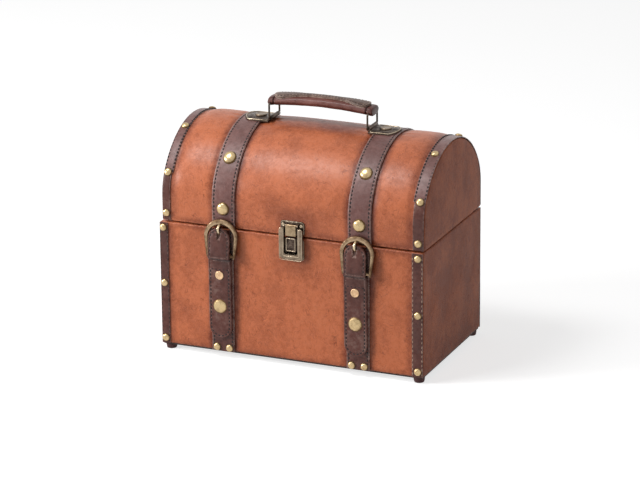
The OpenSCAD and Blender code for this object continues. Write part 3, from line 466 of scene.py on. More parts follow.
@node_group("Leather skin", "ShaderNodeTree", {
    "Colour": "Color", "Dark": "Color", "Light": "Color", "Blotches": "Float",
    "Creases": "Float", "Rubbed": "Float", "Shade": "Float", "Edge": "Float", "Wax": "Float",
}, {**LOOK, "Wax": "Float"})
def skin_group(tree, given):
    """Worn leather: streaky dye, grain, hairline creases, burnished and rubbed places."""
    place = tree.nodes.new("ShaderNodeTexCoord").outputs["Object"]
    drawn = add_node(tree, "ShaderNodeVectorMath", {0: place, 1: (1.0, 1.0, 0.6)},
                     operation="MULTIPLY").outputs[0]
    wide = cloud(tree, place, 16.0)
    mid = cloud(tree, drawn, 52.0, 5.0)
    small = cloud(tree, place, 210.0, 4.0, 0.65)
    speck = cloud(tree, place, 900.0, 2.0)
    # Darker dye in blotches, broken up by the grain, then the painted shade and burnish of the
    # Shade value
    mottle = calc(tree, "MULTIPLY_ADD", mid, 0.7, calc(tree, "MULTIPLY", wide, 0.8))
    mottle = calc(tree, "MULTIPLY_ADD", small, 0.5, mottle)
    dye_and_shade = calc(tree, "MULTIPLY", ramp(tree, mottle, 0.86, 1.14, 1.0, 0.0), given["Blotches"])
    dye_and_shade = calc(tree, "ADD", dye_and_shade, ramp(tree, speck, 0.36, 0.64, 0.11, -0.11))
    dye_and_shade = calc(tree, "ADD", dye_and_shade, given["Shade"], clamp=True)
    colour = blend(tree, dye_and_shade, given["Colour"], given["Dark"])
    # Paler where it is worn, most of all along its edges
    worn = calc(tree, "MULTIPLY", given["Edge"], ramp(tree, calc(
        tree, "MULTIPLY_ADD", small, 0.6, calc(tree, "MULTIPLY", speck, 0.5)), 0.46, 0.62))
    worn = calc(tree, "MULTIPLY", worn, given["Rubbed"])
    pale = calc(tree, "MULTIPLY", ramp(tree, mottle, 1.05, 1.3), given["Blotches"])
    worn = calc(tree, "ADD", worn, calc(tree, "MULTIPLY", pale, 0.6), clamp=True)
    colour = blend(tree, worn, colour, given["Light"])
    # Hairlines that follow one another, and a crackle, both in patches, darkened with their own
    # colour and painted shade in them
    bent = add_node(tree, "ShaderNodeTexNoise", {
        "Vector": place, "Scale": 120.0, "Detail": 2.0}).outputs[1]
    bent = add_node(tree, "ShaderNodeVectorMath", {0: bent, 3: 0.010}, operation="SCALE")
    bent = add_node(tree, "ShaderNodeVectorMath", {0: place, 1: bent.outputs[0]},
                    operation="ADD").outputs[0]
    levels = calc(tree, "PINGPONG", calc(tree, "MULTIPLY", cloud(tree, drawn, 38.0, 3.0, 0.5),
                                         15.0), 0.5)
    hair = calc(tree, "MULTIPLY", ramp(tree, levels, 0.0, 0.055, 1.0, 0.0),
                ramp(tree, cloud(tree, place, 75.0, 3.0, 0.6), 0.5, 0.6))
    cells = add_node(tree, "ShaderNodeTexVoronoi", {"Vector": bent, "Scale": 150.0},
                     feature="DISTANCE_TO_EDGE").outputs[0]
    crackle = calc(tree, "MULTIPLY", ramp(tree, cells, 0.0, 0.05, 1.0, 0.0),
                   ramp(tree, cloud(tree, place, 60.0, 4.0, 0.7), 0.53, 0.66))
    line = calc(tree, "MULTIPLY", calc(tree, "MAXIMUM", hair, crackle), given["Creases"])
    colour = blend(tree, calc(tree, "MULTIPLY", line, 0.55), colour, given["Dark"])
    # Grain and pores
    pores = add_node(tree, "ShaderNodeTexVoronoi", {"Vector": place, "Scale": 1500.0},
                     feature="SMOOTH_F1").outputs[0]
    height = calc(tree, "MULTIPLY_ADD", pores, 0.35, speck)
    height = calc(tree, "MULTIPLY_ADD", line, -1.2, height)
    height = calc(tree, "MULTIPLY_ADD", small, 1.6, height)
    height = calc(tree, "MULTIPLY_ADD", mid, 2.5, height)
    rough = calc(tree, "MULTIPLY_ADD", small, 0.24, 0.26)
    rough = calc(tree, "MULTIPLY_ADD", line, 0.12, rough)
    wax = calc(tree, "MULTIPLY", given["Wax"], ramp(tree, small, 0.35, 0.6, 0.65, 1.0))
    return {"Colour": colour, "Roughness": rough, "Height": height, "Wax": wax}


@node_group("Tarnish", "ShaderNodeTree", {
    "Metal": "Color", "Tarnish": "Color", "Amount": "Float", "Edge": "Float"}, LOOK)
def tarnish_group(tree, given):
    """Old metal: tarnish in patches and small pits, less of it along the edges."""
    place = tree.nodes.new("ShaderNodeTexCoord").outputs["Object"]
    pitted = calc(tree, "MULTIPLY_ADD", cloud(tree, place, 1400.0, 2.0, 0.5), 0.3,
                  cloud(tree, place, 160.0, 6.0, 0.7))
    dark = calc(tree, "MULTIPLY", ramp(tree, pitted, 0.45, 0.85), given["Amount"])
    dark = calc(tree, "SUBTRACT", dark, given["Edge"], clamp=True)
    return {"Colour": blend(tree, dark, given["Metal"], given["Tarnish"]),
            "Roughness": calc(tree, "MULTIPLY_ADD", dark, 0.3, 0.27), "Height": pitted}


@node_group("Cloth weave", "ShaderNodeTree", {
    "Thread": "Color", "Shadow": "Color", "Threads": "Float"}, LOOK)
def weave_group(tree, given):
    """Plain cloth: threads over and under, with slubs."""
    place = tree.nodes.new("ShaderNodeTexCoord").outputs["Object"]
    scaled = add_node(tree, "ShaderNodeVectorMath", {0: place, 3: given["Threads"]},
                      operation="SCALE").outputs[0]
    x, y, z = add_node(tree, "ShaderNodeSeparateXYZ", {0: scaled}).outputs
    # Threads run along X and across it, over the walls as over the floor
    woven = calc(tree, "MULTIPLY", calc(tree, "SINE", x),
                 calc(tree, "SINE", calc(tree, "ADD", y, z)))
    uneven = calc(tree, "MULTIPLY_ADD", woven, 0.32, cloud(tree, place, 220.0, 5.0, 0.7))
    mask = ramp(tree, uneven, 0.15, 0.85, course="LINEAR")
    return {"Colour": blend(tree, mask, given["Shadow"], given["Thread"]),
            "Roughness": calc(tree, "MULTIPLY_ADD", mask, -0.1, 0.9), "Height": uneven}


@node_group("Fibres", "ShaderNodeTree", {
    "Colour": "Color", "Dark": "Color", "Scale": "Float"}, LOOK)
def fibre_group(tree, given):
    """Pressed board, rubber and thread: short fibres and specks."""
    place = tree.nodes.new("ShaderNodeTexCoord").outputs["Object"]
    drawn = add_node(tree, "ShaderNodeVectorMath", {0: place, 1: (0.35, 1.0, 1.0)},
                     operation="MULTIPLY").outputs[0]
    streak = cloud(tree, drawn, given["Scale"], 6.0, 0.7)
    mask = ramp(tree, streak, 0.35, 0.65, course="LINEAR")
    return {"Colour": blend(tree, mask, given["Dark"], given["Colour"]),
            "Roughness": calc(tree, "MULTIPLY_ADD", mask, -0.15, 0.85), "Height": streak}


# Materials

def plain(r, g, b):
    """A screen colour, 0 to 255, as the shader's own."""
    def one(c):
        c /= 255
        return c / 12.92 if c <= 0.04045 else ((c + 0.055) / 1.055) ** 2.4
    return (one(r), one(g), one(b), 1.0)


def material(name, group, values, attributes=(), bump=0.5, depth=0.0003, **principled):
    """A material whose colour, roughness and bump come from a node group."""
    name = f"worn_{name}"
    if name in bpy.data.materials:
        return bpy.data.materials[name]
    made = bpy.data.materials.new(name)
    made.use_nodes = True
    tree = made.node_tree
    tree.nodes.clear()
    inner = add_node(tree, "ShaderNodeGroup", node_tree=group)
    for key, value in values.items():
        inner.inputs[key].default_value = value
    for key, attribute in attributes:
        read = add_node(tree, "ShaderNodeAttribute", attribute_name=attribute)
        tree.links.new(read.outputs["Fac"], inner.inputs[key])
    relief = add_node(tree, "ShaderNodeBump", {
        "Strength": bump, "Distance": depth, "Height": inner.outputs["Height"]})
    shader = add_node(tree, "ShaderNodeBsdfPrincipled", {
        "Base Color": inner.outputs["Colour"], "Roughness": inner.outputs["Roughness"],
        "Normal": relief.outputs["Normal"]})
    if "Wax" in inner.outputs:
        tree.links.new(inner.outputs["Wax"], shader.inputs["Coat Weight"])
    for key, value in principled.items():
        shader.inputs[key.replace("_", " ")].default_value = value
    out = tree.nodes.new("ShaderNodeOutputMaterial")
    tree.links.new(shader.outputs[0], out.inputs["Surface"])
    made.diffuse_color = values.get("Colour", values.get("Metal", (0.5, 0.5, 0.5, 1)))
    return made


def shown(colour):
    """A screen colour, or the name of one of the user's colours, as the shader's own."""
    if isinstance(colour, str):
        return (*getattr(bpy.context.scene.trunk_colours, colour), 1.0)
    return plain(*colour)


def leather(name, colour, dark, light, blotches=0.4, creases=0.8, rubbed=0.5, wax=None,
            depth=0.0004, ior=1.12, coat_rough=0.36):
    """A leather; where no wax is given, the piece's own attribute says how much it has."""
    values = {"Colour": shown(colour), "Dark": plain(*dark), "Light": plain(*light),
              "Blotches": blotches, "Creases": creases, "Rubbed": rubbed}
    read = [("Shade", "shade"), ("Edge", "edge")]
    if wax is None:
        read.append(("Wax", "wax"))
    else:
        values["Wax"] = wax
    return material(name, skin_group(), values, read, depth=depth, IOR=ior,
                    Coat_Roughness=coat_rough)


def tan_leather():
    return leather("tan_leather", "tan", (112, 52, 34), (222, 134, 92), 0.3, 1.0, 1.0,
                   depth=0.0005)


def strap_leather():
    return leather("strap_leather", "strap", (44, 24, 22), (176, 148, 136), wax=0.75)


# Straps and strips over the lid: fully waxed, in a lighter copy of the strap colour that is a
# painted sheen
def polished_leather():
    return leather("polished_leather", (112, 70, 64), (60, 34, 31), (176, 148, 136),
                   blotches=0.35, wax=1.0, ior=1.2, coat_rough=0.42)


def grip_leather():
    return leather("grip_leather", (116, 68, 60), (58, 28, 24), (168, 124, 112),
                   rubbed=0.6, wax=0.5, ior=1.15, coat_rough=0.3)


def grip_strap_leather():
    return leather("grip_strap_leather", (124, 98, 86), (44, 28, 24), (196, 174, 160),
                   blotches=0.5, rubbed=0.9, wax=0.4, ior=1.15, coat_rough=0.3)


def metal(name, colour, tarnish, amount, bump=0.15):
    """A metal with its tarnish; the piece's own attribute says where it is rubbed bright."""
    return material(name, tarnish_group(), {
        "Metal": shown(colour), "Tarnish": plain(*tarnish), "Amount": amount,
    }, (("Edge", "edge"),), bump=bump, depth=0.0001, Metallic=1.0)


def brass():
    return metal("old_brass", "brass", (102, 78, 52), 0.9)


def rivet_brass():
    return metal("rivet_brass", (214, 180, 142), (150, 112, 82), 0.8)


def buckle_brass():
    return metal("buckle_brass", (168, 144, 116), (98, 76, 56), 0.9, 0.2)


def prong_brass():
    return metal("prong_brass", (196, 178, 148), (104, 84, 60), 0.8)


def hasp_brass():
    return metal("hasp_brass", (162, 142, 114), (104, 84, 62), 0.8, 0.2)


def bronze():
    return metal("dark_bronze", (142, 126, 108), (82, 68, 56), 0.8, 0.2)


def plate_bronze():
    return metal("plate_bronze", (104, 90, 80), (52, 42, 36), 1.5, 0.2)


def trim_bronze():
    return metal("trim_bronze", (176, 160, 138), (126, 108, 86), 0.7)


def steel():
    return metal("pin_steel", (160, 156, 148), (92, 86, 78), 0.6, 0.1)


def wire_steel():
    return metal("ring_wire", (96, 86, 74), (48, 42, 36), 1.0, 0.1)


def fibrous(name, colour, dark, scale, bump):
    """A board, a rubber or a thread."""
    return material(name, fibre_group(), {
        "Colour": plain(*colour), "Dark": plain(*dark), "Scale": scale}, bump=bump)


def dark_thread():
    return fibrous("dark_thread", (34, 16, 14), (18, 9, 9), 2600.0, 0.6)


def pale_thread():
    return fibrous("pale_thread", (206, 178, 156), (140, 104, 84), 2600.0, 0.6)


def board():
    return fibrous("board", (150, 118, 86), (112, 84, 58), 420.0, 0.3)


def dark_board():
    return fibrous("dark_board", (54, 40, 36), (30, 22, 20), 420.0, 0.3)


def rubber():
    return fibrous("feet_rubber", (78, 38, 36), (48, 24, 24), 900.0, 0.2)


def lining_cloth():
    return material("lining_cloth", weave_group(), {
        "Thread": shown("cloth"), "Shadow": plain(128, 104, 78), "Threads": 5200.0,
    }, depth=0.0002)


# Leather skins

def near_straps(x):
    """1.5 at the edges of the two straps, falling to 0 at 8 mm from them."""
    return 1.5 * fade(0, 8, abs(abs(abs(x) - STRAP_X) - STRAP_W / 2))


def puff(u, s):
    """How far the padding lifts the lid's leather between straps and strips."""
    lift = 0.0
    for low, high, most in ((-60.5, 60.5, 1.7), (-127.5, -86.5, 1.3), (86.5, 127.5, 1.3)):
        if low < u < high:
            t = abs((u - low) / (high - low) * 2 - 1)
            lift = most * (1 - t ** 4)
    lift *= smooth_step(12, 50, s) * smooth_step(12, 50, AROUND - s)
    # The plates press on the leather at the crest and gather it
    across = s - AROUND / 2
    for side in (-1, 1):
        for at in (52, 88):
            far = math.hypot(u - (HANDLE_X - LID_X + side * at), across * 0.8)
            fold = math.sin(across * 0.62 + side * 0.4) * 0.45
            lift += (fold - 0.2) * math.exp(-(far / 11) ** 2) * smooth_step(-1, 1, lift)
    return max(lift, 0.0)


def coons(bottom, top, left, right):
    """A patch of points between four edges that share their corners."""
    m, n = len(left) - 1, len(bottom) - 1
    rows = []
    for j in range(m + 1):
        b = j / m
        row = []
        for i in range(n + 1):
            a = i / n
            edges = bottom[i] * (1 - b) + top[i] * b + left[j] * (1 - a) + right[j] * a
            corners = ((bottom[0] * (1 - a) + bottom[n] * a) * (1 - b)
                       + (top[0] * (1 - a) + top[n] * a) * b)
            row.append(edges - corners)
        rows.append(row)
    return rows


def lid_skin(bm, half, depth, low, lift, rounding, bulge, fold=None):
    """An open skin over the lid's form: its outside or its lining, with its two ends."""
    start = low - LID_Z
    wall = spread(start, WALL, 2.5)
    over = spread(WALL, AROUND - WALL, 2.4)
    stations = wall + over[1:-1] + [AROUND - s for s in reversed(wall)]
    bend = [(half - rounding + rounding * math.sin(a), -rounding * (1 - math.cos(a)))
            for a in (math.radians(18 * i) for i in range(1, 6))]
    columns = ([(-u, d) for u, d in reversed(bend)]
               + [(u, 0.0) for u in spread(-half + rounding, half - rounding, 2.2)] + bend)
    rows = []
    for u, drop_by in columns:
        rows.append([over_lid(u, s, drop_by - depth + lift(u, s))[0] for s in stations])
    if fold:
        rows = [[Vector((p[0].x, LID_Y - fold[1], low)), *p,
                 Vector((p[0].x, LID_Y + fold[1], low))] for p in rows]
    add_rings(bm, rows, closed=False)
    n = len(wall) - 1
    for row, side in ((rows[0], -1), (rows[-1], 1)):
        line = row[1:-1] if fold else row
        left, top, right = line[:n + 1], line[n:-n], list(reversed(line[-n - 1:]))
        bottom = [left[0].lerp(right[0], i / (len(top) - 1)) for i in range(len(top))]
        patch = coons(bottom, top, left, right)
        m, k = len(patch) - 1, len(top) - 1
        for j, points in enumerate(patch):
            for i, p in enumerate(points):
                out = math.sin(math.pi * i / k) * math.sin(math.pi * min(j / m * 0.94 + 0.06, 1))
                p.x += side * bulge * out ** 0.5 if 0 < out else 0
        if fold:
            patch = [[Vector((LID_X + side * fold[0], p.y, low)) for p in patch[0]]] + patch
        add_rings(bm, patch, closed=False)


def lid_shade(p):
    """Where the lid's leather is burnished: by straps, strips, plates, latch and lower edge."""
    u = p.x - LID_X
    # Painted shade along the crest, under the handle between its plates
    crest = fade(9, 30, abs(p.y - LID_Y)) if p.z > 200 else 0
    latch = fade(8, 34, math.hypot(p.x - LATCH_X, p.z - 146)) if p.y < LID_Y else 0
    shade = max(0.5 * near_straps(u), 0.5 * latch, 0.5 * fade(0, 9, p.z - LID_Z),
                0.5 * fade(0, 10, LID_HALF - strip_wide(u, ARCH_W) - abs(u)),
                0.6 * crest * fade(30, 58, abs(p.x - HANDLE_X)))
    # Painted shade over the ends, deeper towards their front and back edges
    if abs(u) > LID_HALF - 0.8:
        shade = max(0.1, shade * 0.55) + 0.2 * fade(0, 16, LID_A - abs(p.y - LID_Y))
    return shade + 0.16 * noise.noise(p * 0.045)


def box_shade(p):
    """Where the box's leather is burnished: by straps, strips, latch, rim and base."""
    latch = fade(8, 36, math.hypot(p.x - LATCH_X, p.z - 122)) if p.y < MID_Y else 0
    shade = max(0.5 * near_straps(p.x), 0.55 * latch, 0.45 * fade(0, 7, RIM_Z - p.z),
                0.45 * fade(0, 9, HALF_W - strip_wide(p.x, STRIP_W) - abs(p.x)),
                0.4 * fade(0, 8, p.z - BASE_Z))
    # Painted shade over the ends, deeper towards the base
    if abs(p.x) > HALF_W - 0.8:
        shade = max(0.14, shade * 0.6) + 0.12 * fade(0, 30, p.z - BASE_Z)
    return shade + 0.16 * noise.noise(p * 0.045)


class TRUNK_OT_box_leather(bpy.types.Operator):
    """Leather round the box, folded over its rim and under its base"""
    bl_idname = "trunk.box_leather"
    bl_label = "Box leather"

    def execute(self, context):
        r = 1.4  # The leather's corner radius, in mm
        corners = []
        for sx, sy, turn in ((1, -1, -90), (1, 1, 0), (-1, 1, 90), (-1, -1, 180)):
            for i in range(5):
                a = math.radians(turn + 22.5 * i)
                corners.append((sx * (HALF_W - r), sy * (HALF_D - r),
                                Vector((math.cos(a), math.sin(a), 0))))
        outline = []
        for k, (x, y, out) in enumerate(corners):
            outline.append((Vector((x, y, 0)) + out * r, out))
            x2, y2, out2 = corners[(k + 1) % len(corners)]
            here, there = outline[-1][0], Vector((x2, y2, 0)) + out2 * r
            if (there - here).length > 10:
                for t in spread(0, 1, 2.6 / (there - here).length)[1:-1]:
                    outline.append((here.lerp(there, t), out))

        def ring(z, inward=0.0, wave=0.0):
            points = []
            for p, out in outline:
                q = p - out * inward
                if wave:
                    free = 1
                    if abs(out.y) > 0.9:
                        free = (smooth_step(0, 14, HALF_W - STRIP_W - abs(p.x))
                                * smooth_step(0, 12, abs(abs(p.x) - STRAP_X) - STRAP_W / 2))
                    q += out * free * wave * noise.noise(Vector((p.x, p.y, z)) * 0.03)
                points.append(Vector((q.x, q.y + MID_Y, z)))
            return points

        def hem(z):
            return [Vector((p.x * min(1, IN_X / abs(p.x or 1)),
                            p.y * min(1, IN_Y / abs(p.y or 1)) + MID_Y, z)) for p, _ in outline]

        bend = [math.radians(a) for a in (0, 30, 60, 90)]
        rings = [hem(BASE_Z), ring(BASE_Z, 1.3)]
        rings += [ring(BASE_Z + r * (1 - math.cos(a)), r * (1 - math.sin(a))) for a in bend[1:]]
        for z in spread(BASE_Z + 3, RIM_Z - 3, 3):
            ends = smooth_step(0, 15, z - BASE_Z) * smooth_step(0, 15, RIM_Z - z)
            rings.append(ring(z, 0, 0.5 * ends))
        rings += [ring(RIM_Z - r * (1 - math.sin(a)), r * (1 - math.cos(a))) for a in bend]
        rings.append(hem(RIM_Z))
        bm = bmesh.new()
        add_rings(bm, rings, caps=False)
        obj = thicken(finished("box_leather", bm, tan_leather()), 1.1)
        paint(obj, "shade", box_shade)
        paint(obj, "edge", lambda p: 0.5 * fade(0, 1.2, RIM_Z - p.z))
        paint(obj, "wax", lambda p: 0.06 + 0.5 * smooth_step(0.3, 1.2, HALF_W - abs(p.x)))
        settle(obj, "case", "tan_leather", "body_leather_front", "body_leather_back",
               "body_leather_ends")
        return {"FINISHED"}


class TRUNK_OT_lid_leather(bpy.types.Operator):
    """Padded leather over the lid, pulled in by its straps and folded under its edges"""
    bl_idname = "trunk.lid_leather"
    bl_label = "Lid leather"

    def execute(self, context):
        bm = bmesh.new()
        lid_skin(bm, LID_HALF, 0.0, LID_Z, puff, 1.6, 0.9, (LID_IN_X, LID_IN_Y))
        obj = thicken(finished("lid_leather_padded", bm, tan_leather(), weld=0.00005), 1.1)
        paint(obj, "shade", lid_shade)
        paint(obj, "edge", lambda p: 0.4 * fade(0, 1.0, p.z - LID_Z))
        paint(obj, "wax",
              lambda p: 0.06 + 0.6 * smooth_step(0.3, 1.2, LID_HALF - abs(p.x - LID_X)))
        settle(obj, "lid", "tan_leather", "lid_leather", "lid_leather_ends", "lid_padding")
        return {"FINISHED"}


# Straps and strips

def strip_section():
    """A strip's section, one wide and one thick, with rounded edges and sewn grooves."""
    right = [(0.55, 0.5, 1.0), (0.82, 0.487, 1.0), (0.97, 0.465, 0.9), (0.99, 0.435, 0.5),
             (0.87, 0.40, 0.0), (0.975, 0.368, 0.2), (1.0, 0.335, 0.0), (1.05, 0.24, 0.0),
             (1.08, 0.12, 0.0)]
    points = [(0.0, 0.485, 1.0)] + right + [(1.09, 0.0, 0.0)]
    points += [(h, -a, e) for h, a, e in reversed(right)] + [(0.0, -0.485, 1.0)]
    mesh = bpy.data.meshes.new("strip_section")
    n = len(points)
    mesh.from_pydata([(a, -h, 0) for h, a, e in points], [(i, (i + 1) % n) for i in range(n)], [])
    attribute = mesh.attributes.new("edge", "FLOAT", "POINT")
    attribute.data.foreach_set("value", [e * 0.8 for h, a, e in points])
    return linked("strip_section", mesh)


def strips(name, paths, width, thickness, finish=strap_leather):
    """Strips of leather along paths, each a list of points in mm that starts upwards."""
    points, edges = [], []
    for path in paths:
        first = len(points)
        points += [tuple(Vector(p) * MM) for p in path]
        edges += [(i, i + 1) for i in range(first, len(points) - 1)]
    mesh = bpy.data.meshes.new(name)
    mesh.from_pydata(points, edges, [])
    obj = linked(name, mesh)
    section = strip_section()
    run_tree(obj, strip_tree(), 45, Section=section, Width=width * MM,
             Thickness=thickness * MM, Material=finish())
    drop(section)
    return obj


def bindings(name, width, paths_of, finish=strap_leather):
    """Binding strips on both sides as one piece, from a rule (side, width) for their paths."""
    made = []
    for key, s in (("left", -1), ("right", 1)):
        w = strip_wide(s, width)
        made.append(strips(f"{name}_{key}", paths_of(s, w), w, STRIP_T, finish))
    return joined(name, *made)


def box_path(x, side):
    """A straight path up the box's front or down its back."""
    y = MID_Y + side * HALF_D
    path = [Vector((x, y, z)) for z in spread(BASE_Z, STRIP_TOP, 4)]
    return path if side < 0 else list(reversed(path))


def lid_path(u, low, high):
    """A path over the lid between two stations."""
    return [over_lid(u, s)[0] for s in spread(low, high, 2.5)]


class TRUNK_OT_strips(bpy.types.Operator):
    """Straps over the lid and down the box, and the strips that bind the corners"""
    bl_idname = "trunk.strips"
    bl_label = "Straps and strips"

    def execute(self, context):
        low = strips("box_straps", [box_path(s * STRAP_X, t) for s in (-1, 1) for t in (-1, 1)],
                     STRAP_W, STRAP_T)
        settle(low, "case", "brown_leather", "body_straps")
        edge = bindings("box_corner_strips", STRIP_W, lambda s, w: [
            box_path(s * (HALF_W - w / 2), t) for t in (-1, 1)])
        settle(edge, "case", "brown_leather", "corner_strips")
        over = strips("lid_straps", [lid_path(s * STRAP_X, 1.5, AROUND - 1.5) for s in (-1, 1)],
                      STRAP_W, STRAP_T, polished_leather)
        settle(over, "lid", "brown_leather", "lid_strap_left", "lid_strap_right")
        meet = along_shoulder(STRIP_MEET + 0.3)
        arches = bindings("lid_arch_strips", ARCH_W, lambda s, w: [
            lid_path(s * (LID_HALF - w / 2), meet, AROUND - meet)], polished_leather)
        settle(arches, "lid", "brown_leather", "arch_strips")
        low_meet = along_shoulder(STRIP_MEET)
        lower = bindings("lid_lower_strips", LID_STRIP_W, lambda s, w: [
            lid_path(s * (LID_HALF - w / 2), *ends)
            for ends in ((0.5, low_meet), (AROUND - low_meet, AROUND - 0.5))])
        settle(lower, "lid", "brown_leather", "lid_corner_strips")
        return {"FINISHED"}


# Stitches

def stitch_shape():
    """A plump stitch, one long, one wide and one high."""
    bm = bmesh.new()
    rings = []
    for t, w in ((-0.5, 0.25), (-0.4, 0.75), (-0.15, 1.0), (0.15, 1.0), (0.4, 0.75), (0.5, 0.25)):
        rings.append([Vector((t * 1000, 500 * w * math.cos(a), 500 * w * math.sin(a)))
                      for a in (math.radians(60 * i) for i in range(6))])
    add_rings(bm, rings)
    return finished("stitch_shape", bm, dark_thread(), 80)


def sewn(points, outs, pitch):
    """Places for stitches along a line of points, each with its way out."""
    places, left = [], pitch / 2
    for a, b, n, m in zip(points, points[1:], outs, outs[1:]):
        step = (b - a).length
        while left <= step:
            t = left / step
            places.append((a.lerp(b, t), (b - a).normalized(), n.lerp(m, t).normalized()))
            left += pitch
        left -= step
    return places


def sewn_box(x, side, lift, pitch):
    """Stitches up the front or back of the box."""
    out = Vector((0, side, 0))
    points = [Vector((x, MID_Y + side * (HALF_D + lift), z))
              for z in (BASE_Z + 1, STRIP_TOP - 1)]
    return sewn(points, [out, out], pitch)


def sewn_lid(u, lift, pitch, low, high):
    """Stitches over the lid."""
    found = [over_lid(u, s, lift) for s in spread(low, high, 2)]
    return sewn([p for p, out in found], [out for p, out in found], pitch)


class TRUNK_OT_stitches(bpy.types.Operator):
    """Sewn rows along the straps and strips"""
    bl_idname = "trunk.stitches"
    bl_label = "Stitches"

    def execute(self, context):
        pitch = context.scene.trunk_sizes.stitch_pitch / MM
        shape = stitch_shape()
        size = (pitch * 0.64, 1.8, 1.1)
        inset = STRAP_W * 0.4
        places = []
        for s in (-1, 1):
            for t in (-1, 1):
                for side in (-1, 1):
                    places += sewn_box(s * STRAP_X + side * inset, t, STRAP_T - SUNK, pitch)
        obj = scatter("box_strap_stitches", shape, places, size, dark_thread(), 0.06, 3)
        settle(obj, "case", "brown_leather")
        places = []
        for s in (-1, 1):
            for side in (-1, 1):
                u = s * STRAP_X + side * inset
                places += sewn_lid(u, STRAP_T - SUNK, pitch, 3, AROUND - 3)
        meet = along_shoulder(STRIP_MEET + 1)
        for s in (-1, 1):
            for side in (-1, 1):
                w = strip_wide(s, ARCH_W)
                u = s * (LID_HALF - w / 2) + side * w * 0.4
                places += sewn_lid(u, 0.95, pitch, meet, AROUND - meet)
        obj = scatter("lid_stitches", shape, places, size, dark_thread(), 0.06, 4)
        settle(obj, "lid", "brown_leather")
        for key, s, thread in (("left", -1, dark_thread()), ("right", 1, pale_thread())):
            places, w = [], strip_wide(s, STRIP_W)
            for t in (-1, 1):
                for side in (-1, 1):
                    x = s * (HALF_W - w / 2) + side * w * 0.41
                    places += sewn_box(x, t, STRIP_T - SUNK, pitch * 1.2)
            obj = scatter(f"box_edge_stitches_{key}", shape, places, (pitch * 0.66, 1.0, 0.8),
                          thread, 0.12, 5)
            settle(obj, "case", "brown_leather")
        drop(shape)
        return {"FINISHED"}


# Studs, nails and rivets

def dome_shape():
    """A domed head, one across and one high, with a rolled edge that is dark."""
    bm = bmesh.new()
    outline = [(0.0, -120), (500, -120), (512, 0), (500, 90), (470, 190)]
    outline += [(470 * math.cos(a) ** 0.9, 190 + 810 * math.sin(a))
                for a in (math.radians(9 * i) for i in range(1, 10))] + [(0.0, 1000)]
    add_turned(bm, outline, lambda p: p, 20)
    obj = finished("dome_shape", bm, brass(), 60)
    # Painted shade and highlight over the tarnish: darkest at the rim, brightest on top
    paint(obj, "edge", lambda p: smooth_step(150, 800, p.z) * 1.1 - 0.7)
    return obj


def flat_shape():
    """A flat rivet head, one across and one high, with a turned rim."""
    bm = bmesh.new()
    outline = [(0.0, -100), (500, -100), (505, 500), (480, 850), (430, 1000), (360, 960),
               (330, 820), (200, 840), (0.0, 850)]
    add_turned(bm, outline, lambda p: p, 24)
    obj = finished("flat_shape", bm, rivet_brass(), 40)
    # Painted highlight on top and painted shade down its sides, over the tarnish
    paint(obj, "edge", lambda p: 0.3 if p.z > 800 else -0.6)
    return obj


def screw_shape():
    """A domed screw head with a slot."""
    bm = bmesh.new()
    for side in (-1, 1):
        rings = []
        for r, h in ((1, 0), (1, 300), (0.9, 620), (0.7, 830), (0.4, 960), (0.14, 1000)):
            rings.append([Vector((500 * r * math.sin(a), side * (70 + 430 * r * math.cos(a)), h))
                          for a in (math.radians(90 - 15 * i) for i in range(13))])
        add_rings(bm, rings)
    add_turned(bm, [(0.0, -60), (480, -60), (480, 420), (0.0, 420)], lambda p: p, 20)
    obj = finished("screw_shape", bm, brass(), 40)
    # Brighter towards its top: a painted highlight with wear
    paint(obj, "edge", lambda p: smooth_step(600, 1000, p.z) * 0.6)
    return obj


X_WAY = Vector((1, 0, 0))


def on_box(x, side, z, lift):
    """A place on the box's front or back."""
    return Vector((x, MID_Y + side * (HALF_D + lift), z)), X_WAY, Vector((0, side, 0))


def on_lid(u, s, lift):
    """Places over the lid, the same at its front and its back."""
    return [(p, X_WAY, out) for p, out in (over_lid(u, q, lift) for q in (s, AROUND - s))]


